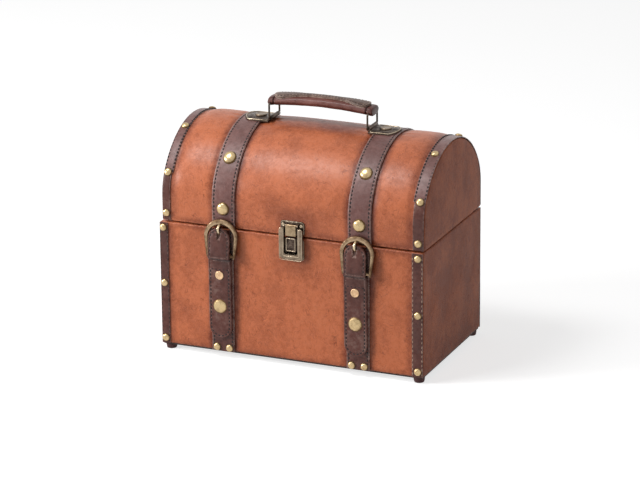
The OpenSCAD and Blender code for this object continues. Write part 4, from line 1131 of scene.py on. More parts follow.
class TRUNK_OT_studs(bpy.types.Operator):
    """Domed nails, studs, caps, rivets and screws"""
    bl_idname = "trunk.studs"
    bl_label = "Studs and nails"

    def execute(self, context):
        dome, flat, screw = dome_shape(), flat_shape(), screw_shape()
        sizes = context.scene.trunk_sizes
        nail, stud = sizes.nail_width / MM, sizes.stud_width / MM

        places = [on_box(x, t, z, STRIP_T) for x in CORNER_NAILS_X for t in (-1, 1)
                  for z in CORNER_NAILS_Z]
        places += [on_box(s * STRAP_X + x, t, STRAP_NAILS_Z, STRAP_T) for s in (-1, 1)
                   for t in (-1, 1) for x in STRAP_NAILS_X]
        settle(scatter("box_nails", dome, places, (nail, nail, NAIL_H), brass(), 0.02, 7),
               "case", "old_brass", "corner_nails", "strap_nails")

        places = []
        for s in (-1, 1):
            low, arch_x = (s * (LID_HALF - strip_wide(s, w) / 2) for w in (LID_STRIP_W, ARCH_W))
            places += on_lid(low, LID_NAIL_Z - LID_Z, STRIP_T)
            places += on_lid(low, along_shoulder(STRIP_MEET + 0.2), STRIP_T)
            places += on_lid(arch_x, along_arch(ARCH_NAIL_UP), STRIP_T)
        settle(scatter("lid_brass_nails", dome, places, (nail, nail, NAIL_H), brass(), 0.02, 8),
               "lid", "old_brass", "lid_nails")

        places = []
        for s in (-1, 1):
            for q in (STUD_Z - LID_Z, along_arch(STUD_UP)):
                places += on_lid(s * STRAP_X, q, STRAP_T)
        settle(scatter("lid_studs", dome, places, (stud, stud, STUD_H), brass(), 0.02, 9),
               "lid", "old_brass", "strap_studs")

        caps, rivets = (
            [on_box(s * STRAP_X + SEWN_X, -1, BAR_Z - drop_by, SEWN_T + STRAP_T) for s in (-1, 1)]
            for drop_by in (CAP_DROP, RIVET_DROP))
        settle(scatter("box_snap_caps", dome, caps, (CAP_W, CAP_W, CAP_H), brass(), 0.0, 10),
               "case", "old_brass", "snap_caps")
        settle(scatter("box_strap_rivets", flat, rivets, (RIVET_W, RIVET_W, RIVET_H),
                       rivet_brass(), 0.0, 11),
               "case", "old_brass", "strap_rivets")

        places = [(Vector((HANDLE_X + s * (RING_X + PLATE_RIVET_X), LID_Y, PLATE_TOP)),
                   X_WAY, Vector((0, 0, 1))) for s in (-1, 1)]
        settle(scatter("handle_plate_rivets", flat, places, PLATE_RIVET, bronze(), 0.0, 12),
               "lid", "dark_bronze", "plate_rivets")
        places = [(Vector((LATCH_X + s * LATCH_NAIL_X, LID_Y - LID_A - 1, LATCH_NAIL_Z)),
                   X_WAY, Vector((0, -1, 0))) for s in (-1, 1)]
        settle(scatter("latch_small_nails", flat, places, LATCH_NAIL, trim_bronze(), 0.0, 13),
               "lid", "old_brass", "latch_nails")

        for name, body, node, way in (("hinge_screws_low", "case", "hinge_screws_body", -1),
                                      ("hinge_screws_high", "lid", "hinge_screws_lid", 1)):
            places = [on_box(s * HINGE_X + d * SCREW_X, 1, HINGE_Z + way * SCREW_Z, 1)
                      for s in (-1, 1) for d in (-1, 1)]
            settle(scatter(name, screw, places, SCREW, brass(), 0.3, 14),
                   body, "old_brass", node)
        drop(dome, flat, screw)
        return {"FINISHED"}


# Buckles

def leather_height(d, thick, crown, groove):
    """How high a leather tongue stands, d mm in from its outline."""
    soft = 0.8
    height = thick - soft + math.sqrt(max(soft ** 2 - (soft - min(d, soft)) ** 2, 0))
    if groove:
        height -= 0.32 * math.exp(-((d - groove) / 0.5) ** 2)
    return height + crown * (1 - math.exp(-max(d - groove, 0) / 3))


def slab(width, low, high, thick, crown, groove, round_low=False, round_high=False, dent=None):
    """Rings of a leather tongue in its own plane, as (across, up, out)."""
    half = width / 2

    def half_at(z):
        for on, centre, past in ((round_low, low + half, z < low + half),
                                 (round_high, high - half, z > high - half)):
            if on and past:
                return math.sqrt(max(half ** 2 - (z - centre) ** 2, 0.0001))
        return half

    def inside(x, z):
        if round_low and z < low + half:
            return half - math.hypot(x, z - low - half)
        if round_high and z > high - half:
            return half - math.hypot(x, z - high + half)
        d = half - abs(x)
        d = d if round_low else min(d, z - low)
        return d if round_high else min(d, high - z)

    ease = [half * (1 - math.cos(math.radians(a))) for a in (2, 7, 12, 17, 22, 28, 34, 42, 50, 60,
                                                              70, 80)]
    cut = [0.0, 0.12, 0.35, 0.8, 1.4, 1.9, 2.4, 3.0]
    below, above = (ease if round_low else cut), (ease if round_high else cut)
    stations = [low + d for d in below]
    stations += spread(low + (half if round_low else 4), high - (half if round_high else 4), 1.6)
    stations += [high - d for d in reversed(above)]
    shares = (1, 0.99, 0.965, 0.935, 0.89, 0.85, 0.81, 0.77, 0.68, 0.5, 0.32, 0.2, 0.16, 0.11)
    across = [-v for v in shares] + [0] + list(reversed(shares))
    rings = []
    for z in stations:
        w = half_at(z)
        ring = [(-w, z, 0.0)]
        for v in across:
            x = v * w
            out = leather_height(max(inside(x, z), 0), thick, crown, groove)
            if dent and dent[1] < z < dent[2] and abs(x) < dent[0]:
                out -= dent[3]
            ring.append((x, z, out))
        ring.append((w, z, 0.0))
        rings.append(ring)
    return rings


def barrel(bm, x0, x1, radius, centre, steps, rim):
    """A rounded drum along X, in mm, about a point (y, z)."""
    outline = [(0, 0), (radius - rim, 0), (radius, rim), (radius, x1 - x0 - rim),
               (radius - rim, x1 - x0), (0, x1 - x0)]
    add_turned(bm, outline,
               lambda p: Vector((x0 + p.z, centre[0] + p.x, centre[1] + p.y)), steps)


def at_bar(s, x, y, z):
    """A place given about the middle of a buckle's bar."""
    return Vector((s * STRAP_X + x, MID_Y + BAR_Y + y, BAR_Z + z))


def tilted(s, x, y, z, angle, lift_y=0.0):
    """A place on a plane that leans about the buckle's bar."""
    c, k = math.cos(angle), math.sin(angle)
    return at_bar(s, x, lift_y + y * c - z * k, y * k + z * c)


def buckle_strap(name, s):
    """The folded, stitched strap below a buckle, with two fingers round its bar."""
    bm = bmesh.new()
    width = STRAP_W - 0.5
    middle = s * STRAP_X + SEWN_X
    rings = slab(width, SEWN_LOW, SEWN_TOP, SEWN_T, 0.15, 2.3, round_low=True)
    add_rings(bm, [[Vector((middle + x, MID_Y + SEWN_Y - out, z)) for x, z, out in ring]
                   for ring in rings])
    for t in (-1, 1):
        x0, x1 = sorted((t * 6.8, t * 10.4))
        barrel(bm, s * STRAP_X + x0, s * STRAP_X + x1, 3.2, (MID_Y + BAR_Y, BAR_Z), 24, 0.6)
        finger = slab(x1 - x0, SEWN_TOP - 2, BAR_Z, SEWN_T - 0.1, 0.0, 0.0)
        add_rings(bm, [[Vector((s * STRAP_X + (x0 + x1) / 2 + x, MID_Y + SEWN_Y - out, z))
                        for x, z, out in ring] for ring in finger])
    obj = finished(name, bm, strap_leather(), 50)
    paint_edges(obj, 16)
    # Painted shadow under the tab: darker at the strap's top
    paint(obj, "shade", lambda p: 0.9 * smooth_step(SEWN_TOP - 2.2, SEWN_TOP - 0.8, p.z))
    return obj


def buckle_tab(name, s):
    """The short tab in a buckle, crowned, with loops round the bar and a hole for the prong."""
    bm = bmesh.new()
    rings = slab(TAB_W, TAB_LOW, TAB_TOP, TAB_T, 0.7, 2.1, round_high=True,
                 dent=(1.7, TAB_TOP - 9.9, TAB_TOP - 2.3, 1.9))
    add_rings(bm, [[tilted(s, x, TAB_T / 2 - out, z, TAB_LEAN, TAB_Y) for x, z, out in ring]
                   for ring in rings])
    for t in (-1, 1):
        x0, x1 = sorted((t * 2.0, t * 6.4))
        barrel(bm, s * STRAP_X + x0, s * STRAP_X + x1, 3.0, (MID_Y + BAR_Y, BAR_Z), 24, 0.5)
        link = slab(x1 - x0, 0.0, 5.6, 2.6, 0.0, 0.0)
        add_rings(bm, [[at_bar(s, (x0 + x1) / 2 + x, -2.2 - out, z) for x, z, out in ring]
                       for ring in link])
    obj = finished(name, bm, strap_leather(), 50)
    low = BAR_Z + TAB_LOW
    paint_edges(obj, 16)
    # Painted shade along its lower end, where it folds over the strap
    paint(obj, "shade", lambda p: fade(low + 0.3, low + 1.4, p.z))
    return obj


def buckle_frame(name, s):
    """The buckle's D-shaped band, domed in front, with its bar."""
    bm = bmesh.new()
    stations = [(-15.5 - 2.8 * t, -2 + 21.2 * t, -12.9 - 1.3 * t, -2 + 20.9 * t)
                for t in (i / 9 for i in range(9))]
    stations += [(18.3 * math.cos(a), 19.2 + 18.3 * math.sin(a),
                  14.2 * math.cos(a), 18.9 + 13.2 * math.sin(a))
                 for a in (math.radians(180 - 5 * i) for i in range(37))]
    stations += [(-a, b, -c, d) for a, b, c, d in reversed(stations[:9])]
    rings = []
    last = len(stations) - 1
    for k, (ox, oz, ix, iz) in enumerate(stations):
        shrink = 0.7 if k in (0, last) else 1.0
        if k in (0, last):
            oz, iz = oz - 0.5, iz - 0.5
        mx, mz, dx, dz = (ox + ix) / 2, (oz + iz) / 2, (ox - ix) / 2, (oz - iz) / 2
        ring = []
        for i in range(20):
            a = 2 * math.pi * i / 20
            c, q = math.cos(a), math.sin(a)
            across = math.copysign(abs(c) ** 0.55, c) * shrink * 1.06
            out = math.copysign(abs(q) ** 0.6, q) * 1.6 * shrink * (1 + 0.15 * max(q, 0))
            ring.append(tilted(s, BUCKLE_X + mx + dx * across, -out, mz + dz * across,
                               BUCKLE_TILT))
        rings.append(ring)
    add_rings(bm, rings)
    middle = s * STRAP_X + BUCKLE_X
    barrel(bm, middle - 14.2, middle + 14.2, 1.5, (MID_Y + BAR_Y, BAR_Z), 16, 0.2)
    obj = finished(name, bm, buckle_brass(), 50)

    # Painted highlight along the band's inner edge, with wear, and painted shade on its outer side
    # and round the bar
    def crest(p):
        x, z = p.x - middle, p.z - BAR_Z
        high = z - 19
        far = math.hypot(x, max(high, 0)) * (1 + 0.012 * max(-high, 0))
        if math.hypot(x, z) <= 3:
            return -0.3
        return 0.9 * fade(14.0, 15.6, far) - 0.45 * smooth_step(16.2, 18.2, far)

    paint(obj, "edge", crest)
    return obj


def buckle_prong(name, s):
    """The prong: a bent tongue of wire from its eye on the bar to the top of the frame."""
    bm = bmesh.new()
    high = TAB_TOP - 2.3
    knots = [Vector((0, y, z)) for y, z in ((0.0, 2.2), (0.9, high - 8.2), (-1.4, high - 4.6),
                                            (-4.5, high - 0.4), (-4.5, TAB_TOP + 0.4),
                                            (-2.2, TAB_TOP + 2.2), (0.2, 32.9))]
    path = []
    for a, b, c, d in zip([knots[0]] + knots, knots, knots[1:], knots[2:] + [knots[-1]]):
        for i in range(4):
            t = i / 4
            path.append(0.5 * ((2 * b) + (c - a) * t + (2 * a - 5 * b + 4 * c - d) * t * t
                               + (3 * b - a - 3 * c + d) * t ** 3))
    path.append(knots[-1])
    rings = []
    for k, p in enumerate(path):
        way = (path[min(k + 1, len(path) - 1)] - path[max(k - 1, 0)]).normalized()
        out = way.cross(Vector((1, 0, 0))).normalized()
        near = (len(path) - 1 - k) / len(path)
        size = 0.55 if k == len(path) - 1 else min(1.0, 0.8 + near)
        ring = []
        for i in range(14):
            a = 2 * math.pi * i / 14
            c, q = math.cos(a), math.sin(a)
            x = math.copysign(abs(c) ** 0.8, c) * 1.3 * size
            off = out * math.copysign(abs(q) ** 0.8, q) * size
            ring.append(at_bar(s, x, p.y + off.y, p.z + off.z))
        rings.append(ring)
    add_rings(bm, rings)
    barrel(bm, s * STRAP_X - 1.6, s * STRAP_X + 1.6, 2.8, (MID_Y + BAR_Y, BAR_Z), 20, 0.5)
    obj = finished(name, bm, prong_brass(), 50)
    # Painted shade where it runs behind the tab, and brighter where it comes out in front
    paint(obj, "edge", lambda p: 0.6 if p.y < MID_Y + BAR_Y - 2.0 else -0.3)
    return obj


def tongue_stitches(width, low, high, inset, round_low):
    """Points along the inside of a tongue's outline, round its one round end, as (across, up)."""
    half = width / 2 - inset
    way, centre, straight = (-1, low + width / 2, high - inset) if round_low else (
        1, high - width / 2, low + inset)
    turn = [(-half * math.cos(a), centre + way * half * math.sin(a))
            for a in (math.radians(10 * i) for i in range(1, 18))]
    return [(-half, straight), (-half, centre), *turn, (half, centre), (half, straight)]


class TRUNK_OT_buckles(bpy.types.Operator):
    """Two buckles with their prongs, tabs and stitched straps"""
    bl_idname = "trunk.buckles"
    bl_label = "Buckles"

    def execute(self, context):
        shape = stitch_shape()
        pitch = context.scene.trunk_sizes.stitch_pitch / MM
        size = (pitch * 0.6, 1.45, 1.0)
        for side, s in (("left", -1), ("right", 1)):
            strap = buckle_strap(f"billet_{side}", s)
            settle(strap, "case", "brown_leather", f"buckle_strap_{side}")
            tab = buckle_tab(f"tab_{side}", s)
            body = f"buckle_{side}_body"
            settle(tab, body, "brown_leather", f"buckle_tab_{side}")
            band = buckle_frame(f"buckle_{side}", s)
            settle(band, body, "buckle_brass", f"buckle_frame_{side}")
            prong = buckle_prong(f"prong_{side}", s)
            settle(prong, body, "buckle_brass", f"buckle_prong_{side}")

            middle, y = s * STRAP_X + SEWN_X, MID_Y + SEWN_Y - SEWN_T + 0.15
            flat = tongue_stitches(STRAP_W - 0.5, SEWN_LOW, 97.0, 2.4, True)
            line = [Vector((middle + x, y, z)) for x, z in flat]
            row = [Vector((middle + x, y, 95.0)) for x in (-9.6, 9.6)]
            out = Vector((0, -1, 0))
            places = sewn(line, [out] * len(line), pitch) + sewn(row, [out, out], pitch)
            obj = scatter(f"billet_stitches_{side}", shape, places, size, dark_thread(), 0.06, 20)
            settle(obj, "case", "brown_leather")

            flat = tongue_stitches(TAB_W, TAB_LOW + 0.4, TAB_TOP, 2.2, False)
            line = [tilted(s, x, -TAB_T / 2 + 0.3, z, TAB_LEAN, TAB_Y) for x, z in flat]
            lean = Vector((0, -math.cos(TAB_LEAN), -math.sin(TAB_LEAN)))
            obj = scatter(f"tab_stitches_{side}", shape, sewn(line, [lean] * len(line), pitch),
                          size, dark_thread(), 0.06, 21)
            settle(obj, body, "brown_leather")
        drop(shape)
        return {"FINISHED"}


def rounded(corners):
    """A closed line through corners (across, up, radius), each turned by an arc."""
    points = []
    n = len(corners)
    for k, (x, z, r) in enumerate(corners):
        here = Vector((x, z))
        back = (Vector(corners[k - 1][:2]) - here).normalized()
        on = (Vector(corners[(k + 1) % n][:2]) - here).normalized()
        half = back.angle(on) / 2
        centre = here + (back + on).normalized() * (r / math.sin(half))
        start, end = here + back * (r / math.tan(half)), here + on * (r / math.tan(half))
        a = math.atan2(*reversed(start - centre))
        turn = (math.atan2(*reversed(end - centre)) - a + math.pi) % (2 * math.pi) - math.pi
        count = max(2, round(abs(math.degrees(turn)) / 15))
        for i in range(count + 1):
            b = a + turn * i / count
            points.append(centre + Vector((math.cos(b), math.sin(b))) * r)
    return points


def add_bead(bm, points, outs, radius):
    """A closed raised bead along points, each with its way out."""
    rings, n = [], len(points)
    for k in range(n + 1):
        p, out = points[k % n], outs[k % n]
        way = (points[(k + 1) % n] - points[(k - 1) % n]).normalized()
        side = way.cross(out).normalized()
        rings.append([p + (side * math.cos(a) + out * math.sin(a)) * radius
                      for a in (math.pi * i / 4 for i in range(8))])
    add_rings(bm, rings, caps=False)


def bead_round(name, outlines, y, radius):
    """Beads of bright bronze along outlines (across, up) on a front at y."""
    bm = bmesh.new()
    for outline in outlines:
        points = [Vector((LATCH_X + p.x, y, p.y)) for p in rounded(outline)]
        add_bead(bm, points, [Vector((0, -1, 0))] * len(points), radius)
    obj = finished(name, bm, trim_bronze(), 60)
    paint(obj, "edge", lambda p: 0.3)
    return obj


class TRUNK_OT_latch(bpy.types.Operator):
    """Latch: plate, hasp, case and button"""
    bl_idname = "trunk.latch"
    bl_label = "Latch"

    def execute(self, context):
        for name, node, width, body, finish in (
            ("latch_lid_plate", "latch_plate", 0.35, "lid", plate_bronze()),
            ("latch_hasp_pin", "hasp_pin", 0.25, "lid", bronze()),
            ("latch_hasp", "hasp", 0.5, "hasp_body", hasp_brass()),
            ("latch_case", "lock_case", 0.8, "case", bronze()),
            ("latch_button", "lock_button", 0.35, "button_body", plate_bronze()),
        ):
            settle(softened(name, node, finish, width, 3), body, "dark_bronze", node)
        low, high = (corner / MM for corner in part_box("lock_case"))
        inset = 0.6
        half, foot, head = (high.x - low.x) / 2 - inset, low.z + inset, high.z - inset
        gap, slot = half - LATCH_ARM + 2 * inset, low.z + LATCH_SLOT - inset
        case = [(-half, foot, 2.9), (half, foot, 2.9), (half, head, 1.7), (gap, head, 1.7),
                (gap, slot, 1.6), (-gap, slot, 1.6), (-gap, head, 1.7), (-half, head, 1.7)]
        settle(bead_round("latch_case_bead", [case], low.y + 0.12, 0.3), "case", "dark_bronze")
        low, high = (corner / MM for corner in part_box("lock_button"))
        half, foot, head = 4.7, low.z + 0.9, high.z - 0.9
        button = [(-half, foot, 0.8), (half, foot, 0.8), (half, head, 0.8), (-half, head, 0.8)]
        settle(bead_round("latch_button_bead", [button], low.y + 0.05, 0.36), "button_body",
               "dark_bronze")
        low, high = (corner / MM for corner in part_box("latch_plate"))
        inset = 0.8
        half, foot, head = (high.x - low.x) / 2 - inset, low.z + inset, high.z - inset
        plate = [(-half, foot, 0.8), (half, foot, 0.8), (half, head, 2.2), (-half, head, 2.2)]
        settle(bead_round("latch_plate_bead", [plate], LID_Y - LID_A - 1.0, 0.25), "lid",
               "dark_bronze")
        coat("lock_spring", steel())
        return {"FINISHED"}


class TRUNK_OT_hinges(bpy.types.Operator):
    """Hinges at the back"""
    bl_idname = "trunk.hinges"
    bl_label = "Hinges"

    def execute(self, context):
        for name, node, body in (("hinge_leaves_low", "hinge_leaves_body", "case"),
                                 ("hinge_leaves_high", "hinge_leaves_lid", "lid")):
            settle(softened(name, node, bronze(), 0.25), body, "dark_bronze", node)
        settle(softened("hinge_pins_round", "hinge_pins", steel(), 0.25), "case", "pin_steel",
               "hinge_pins")
        return {"FINISHED"}


# Handle

def grip_z(x):
    """Height of the grip's middle line."""
    return GRIP_PIVOT + 0.9 + 3.4 * (1 - (x / GRIP_HALF) ** 2)


def grip_wide(x):
    """Half the grip's width."""
    return GRIP_W / 2 * (1 - 0.06 * (1 - (x / GRIP_HALF) ** 2))


def grip_top(x, y):
    """Height of the grip's upper side."""
    share = 1 - min(abs(y) / grip_wide(x), 1) ** (2 / 0.75)
    return grip_z(x) + GRIP_H / 2 * share ** 0.425


def overlay_wide(x):
    """Half the width of the stitched strap on the grip."""
    u = abs(x) / OVERLAY_HALF
    end = math.sqrt(max(0.0, 1 - (max(0.0, u - 0.84) / 0.161) ** 2))
    return (GRIP_W / 2 - 1.3) * (0.4 + 0.6 * smooth_step(0.35, 0.86, u)) * end


def rolled_grip():
    """The rolled leather grip, with a welt along each side and a groove near each end."""
    bm = bmesh.new()
    ends = [(0.0, 1.6), (0.3, 0.8), (0.8, 0.3), (1.6, 0.0), (5.2, 0.0), (5.9, 0.25),
            (6.5, 0.9), (7.1, 0.25), (7.8, 0.0)]
    stations = [(-GRIP_HALF + d, cut) for d, cut in ends]
    stations += [(x, 0.0) for x in spread(-GRIP_HALF + 9, GRIP_HALF - 9, 2.5)]
    stations += [(GRIP_HALF - d, cut) for d, cut in reversed(ends)]
    rings = []
    for x, cut in stations:
        ring = []
        for i in range(40):
            a = -2 * math.pi * i / 40
            c, q = math.cos(a), math.sin(a)
            w, h = grip_wide(x) - cut, GRIP_H / 2 - cut
            welt = 0.35 * math.exp(-(q / 0.16) ** 2)
            y = math.copysign(abs(c) ** 0.75, c) * (w + welt - 0.3)
            z = math.copysign(abs(q) ** 0.85, q) * h
            z -= 0.35 * math.exp(-((abs(q) - 0.32) / 0.1) ** 2) * math.copysign(1, q)
            wave = 0.2 * noise.noise(Vector((x * 0.12, c * 2, q * 2)))
            ring.append(Vector((HANDLE_X + x, LID_Y + y, grip_z(x) + z + wave)))
        rings.append(ring)
    add_rings(bm, rings)
    obj = finished("handle_grip", bm, grip_leather(), 60)

    # Painted shade in the groove near each end, and darker towards the ends
    def shade(p):
        x = abs(p.x - HANDLE_X)
        return 0.3 * smooth_step(40, 50, x) + 0.7 * math.exp(-((x - GRIP_HALF + 6.5) / 0.9) ** 2)

    paint(obj, "shade", shade)
    paint(obj, "edge", lambda p: 0.5 * smooth_step(9.3, 10.2, abs(p.y - LID_Y)))
    return obj


def grip_strap():
    """The strap on top of the grip, narrow in the middle and round at its ends."""
    bm = bmesh.new()
    shares = [0.999, 0.995, 0.985, 0.97, 0.95, 0.92, 0.89, 0.86, 0.84]
    straight = OVERLAY_HALF * 0.82
    stations = [-OVERLAY_HALF * v for v in shares] + spread(-straight, straight, 2.0)
    stations += [OVERLAY_HALF * v for v in reversed(shares)]
    rings = []
    for x in stations:
        w = max(overlay_wide(x), 0.3)
        upper, lower = [], []
        for i in range(-12, 13):
            y = w * math.sin(math.radians(i * 7.5))
            inside = min(w - abs(y), OVERLAY_HALF - abs(x) + 0.2)
            base = grip_top(x, y) + 0.1
            out = leather_height(max(inside, 0), 2.1, 0.1, 1.7)
            upper.append(Vector((HANDLE_X + x, LID_Y + y, base + out)))
            lower.append(Vector((HANDLE_X + x, LID_Y + y, base)))
        rings.append(upper + list(reversed(lower)))
    add_rings(bm, rings)
    obj = finished("handle_strap", bm, grip_strap_leather(), 60)
    paint_edges(obj, 14)
    return obj


def grip_stitches():
    """Stitches along both sides of the strap on the grip."""
    line, outs = [], []
    for way in (1, -1):
        for x in spread(-way * OVERLAY_HALF * 0.93, way * OVERLAY_HALF * 0.93, 1.5):
            y = way * max(overlay_wide(x) - 1.7, 0)
            line.append(Vector((HANDLE_X + x, LID_Y + y, grip_top(x, y) + 1.95)))
            outs.append(Vector((0, y * 0.03, 1)).normalized())
    shape = stitch_shape()
    obj = scatter("handle_stitches", shape, sewn(line, outs, 3.4), (2.1, 1.1, 0.9),
                  dark_thread(), 0.06, 30)
    drop(shape)
    return obj


def plate_beads():
    """The raised rims of the two plates under the handle's rings."""
    bm = bmesh.new()
    r = PLATE_R + PLATE_T
    flat = [(56.5, -13.8), (66.0, -13.8)]
    flat += [(65.05 + 17.5 * math.cos(a), 17.5 * math.sin(a))
             for a in (math.radians(-52 + 8 * i) for i in range(14))]
    flat += [(66.0, 13.8), (56.5, 13.8)]
    for way in (-1, 1):
        points = [Vector((HANDLE_X + way * x, LID_Y + y, PLATE_TOP - r + math.sqrt(r * r - y * y)))
                  for x, y in flat]
        outs = [Vector((0, y, math.sqrt(r * r - y * y))).normalized() for x, y in flat]
        add_bead(bm, points, outs, 0.5)
    obj = finished("handle_plate_beads", bm, trim_bronze(), 60)
    paint(obj, "edge", lambda p: 0.2)
    return obj


class TRUNK_OT_handle(bpy.types.Operator):
    """Handle: a rolled leather grip with a stitched strap on it, its rings and plates"""
    bl_idname = "trunk.handle"
    bl_label = "Handle"

    def execute(self, context):
        settle(rolled_grip(), "handle_body", "handle_leather", "handle_cover", "handle_core")
        settle(grip_strap(), "handle_body", "handle_leather", "handle_overlay")
        settle(grip_stitches(), "handle_body", "handle_leather")
        for side in ("left", "right"):
            coat(f"handle_ring_{side}", wire_steel())
        settle(softened("handle_base_plates", "handle_plates", plate_bronze(), 0.35), "lid",
               "dark_bronze", "handle_plates")
        settle(plate_beads(), "lid", "dark_bronze")
        return {"FINISHED"}


# Inside, boards and feet

def box_tub():
    """Cloth down the walls of the box and over its floor, round in its corners."""
    def ring(z, inset, r):
        points = []
        hx, hy = IN_X - inset, IN_Y - inset
        for sx, sy, turn in ((1, -1, -90), (1, 1, 0), (-1, 1, 90), (-1, -1, 180)):
            for i in range(7):
                a = math.radians(turn + 15 * i)
                points.append(Vector((sx * (hx - r) + r * math.cos(a),
                                      MID_Y + sy * (hy - r) + r * math.sin(a), z)))
        return points

    wall, cove = 1.0, 3.4
    rings = [ring(FLOOR_Z + 0.05, 0.4, 0.6), ring(FLOOR_Z + 0.05, 0.1, 0.6),
             ring(LINING_TOP - 0.6, 0.1, 0.6), ring(LINING_TOP - 0.1, 0.4, 0.8),
             ring(LINING_TOP - 0.4, wall + 0.2, 1.0)]
    rings += [ring(z, wall + 0.1 + 0.25 * math.sin(z * 0.13), 1.6)
              for z in spread(LINING_TOP - 3, FLOOR_Z + 6, 6)]
    rings += [ring(FLOOR_Z + wall + cove * (1 - math.sin(a)), wall + cove * (1 - math.cos(a)), 3)
              for a in (math.radians(20), math.radians(45), math.radians(70), math.radians(90))]
    rings += [ring(FLOOR_Z + wall + 0.5, inset, 3) for inset in (16, 34, 52, 66)]
    bm = bmesh.new()
    add_rings(bm, rings)
    return finished("box_lining", bm, lining_cloth(), 60)


def lid_pad():
    """Cloth in the lid, a little slack between its edges."""
    def slack(u, s):
        t = abs(u) / (LID_IN_X - 1.2)
        return -0.9 * (1 - t ** 6) * smooth_step(6, 40, s) * smooth_step(6, 40, AROUND - s)

    bm = bmesh.new()
    lid_skin(bm, LID_IN_X - 1.25, LINING_DEPTH - 0.05, LINING_Z, slack, 2.5, -0.6)
    return thicken(finished("lid_lining_padded", bm, lining_cloth(), weld=0.00005), 1.1, 1)


class TRUNK_OT_lining(bpy.types.Operator):
    """Cloth in the box and padded cloth in the lid"""
    bl_idname = "trunk.lining"
    bl_label = "Lining"

    def execute(self, context):
        settle(box_tub(), "case", "lining", "body_lining")
        pad = settle(lid_pad(), "lid", "lining", "lid_lining")
        return {"FINISHED"}


class TRUNK_OT_boards(bpy.types.Operator):
    """Boards, rim lip and feet"""
    bl_idname = "trunk.boards"
    bl_label = "Boards and feet"

    def execute(self, context):
        for node in ("base_board", "front_board", "back_board", "left_board", "right_board",
                     "lid_front_rail", "lid_back_rail", "lid_end_left", "lid_end_right",
                     "lid_skin"):
            coat(node, board())
        coat("under_board", dark_board())
        settle(softened("rim_lip", "inner_lip", dark_board(), 0.7), "case", "dark_board",
               "inner_lip")
        bm = bmesh.new()
        r = FOOT_D / 2
        for sx in (-1, 1):
            for sy in (-1, 1):
                x, y = sx * (HALF_W - FOOT_IN), MID_Y + sy * (HALF_D - FOOT_IN)
                outline = [(0, 0), (r - 1.6, 0), (r - 0.9, 0.25), (r - 0.55, 0.9), (r - 0.1, 3.2),
                           (r, 4.4), (r - 0.1, FOOT_H - 0.05), (0, FOOT_H - 0.05)]
                add_turned(bm, outline, lambda p: p + Vector((x, y, 0)), 28)
        feet = finished("rubber_feet", bm, rubber(), 50)
        settle(feet, "case", "feet_rubber", "feet")
        return {"FINISHED"}


# Stage

def seen_white(tree):
    """1 where the camera sees a surface, directly, in a gloss or through glass."""
    path = tree.nodes.new("ShaderNodeLightPath").outputs
    return calc(tree, "MAXIMUM", calc(tree, "MAXIMUM", path["Is Camera Ray"],
                                      path["Is Glossy Ray"]), path["Is Transmission Ray"])


def white_floor():
    """A white surface that looks white to the camera and keeps soft shadows."""
    made = bpy.data.materials.new("floor_white")
    made.use_nodes = True
    tree = made.node_tree
    tree.nodes.clear()
    diffuse = add_node(tree, "ShaderNodeBsdfDiffuse", {
        "Color": (FLOOR_GREY, FLOOR_GREY, FLOOR_GREY, 1)})
    light = add_node(tree, "ShaderNodeEmission", {"Color": (1, 1, 1, 1), "Strength": FLOOR_GLOW})
    both = add_node(tree, "ShaderNodeAddShader", {0: diffuse.outputs[0], 1: light.outputs[0]})
    mix = add_node(tree, "ShaderNodeMixShader", {
        0: seen_white(tree), 1: diffuse.outputs[0], 2: both.outputs[0]})
    add_node(tree, "ShaderNodeOutputMaterial", {"Surface": mix.outputs[0]})
    return made


def white_world():
    """A world that is white to the camera and lights the trunk softly."""
    world = bpy.data.worlds.new("studio")
    world.use_nodes = True
    tree = world.node_tree
    tree.nodes.clear()
    soft, white = (add_node(tree, "ShaderNodeBackground", {
        "Color": (1, 1, 1, 1), "Strength": strength}) for strength in (SOFT_LIGHT, 1.0))
    mix = add_node(tree, "ShaderNodeMixShader", {
        0: seen_white(tree), 1: soft.outputs[0], 2: white.outputs[0]})
    add_node(tree, "ShaderNodeOutputWorld", {"Surface": mix.outputs[0]})
    return world


def lamp(name, place, size, power):
    """A soft square lamp that looks at the trunk."""
    data = bpy.data.lights.new(name, "AREA")
    data.shape, data.size, data.energy = "SQUARE", size, power
    obj = linked(name, data)
    obj.location = place
    obj.rotation_euler = (Vector(LAMP_AIM) - Vector(place)).to_track_quat("-Z", "Y").to_euler()


def fitted_camera():
    """The camera that was fitted to the photograph."""
    data = bpy.data.cameras.new("camera")
    data.sensor_width = 36
    data.lens = LENS
    data.clip_end = 50
    camera = linked("camera", data)
    azimuth, elevation, roll = (math.radians(a) for a in (AZIMUTH, ELEVATION, ROLL))
    back = Vector((math.sin(azimuth) * math.cos(elevation),
                   -math.cos(azimuth) * math.cos(elevation), math.sin(elevation)))
    right = (-back).cross(Vector((0, 0, 1))).normalized()
    up = right.cross(-back)
    side = math.cos(roll) * right + math.sin(roll) * up
    over = -math.sin(roll) * right + math.cos(roll) * up
    place = (Vector(CAMERA_AIM) + CAMERA_FAR * back) * MM
    turned = Matrix((side, over, back)).transposed().to_4x4()
    camera.matrix_world = Matrix.Translation(place) @ turned
    return camera


class TRUNK_OT_stage(bpy.types.Operator):
    """Floor, lamps, world and camera"""
    bl_idname = "trunk.stage"
    bl_label = "Stage"

    def execute(self, context):
        scene = context.scene
        bm = bmesh.new()
        stations = spread(-FLOOR_HALF, FLOOR_HALF, FLOOR_HALF / 2)
        add_rings(bm, [[Vector((x, y, 0)) for x in stations] for y in stations], closed=False)
        floor = finished("floor", bm, white_floor())
        scene.world = white_world()
        for name, place, size, power in LAMPS:
            lamp(name, place, size, power)
        scene.camera = fitted_camera()
        scene.view_settings.view_transform = "Standard"
        return {"FINISHED"}


# Settings and panel

def linear(r, g, b):
    """A screen colour as a property's default."""
    return plain(r, g, b)[:3]


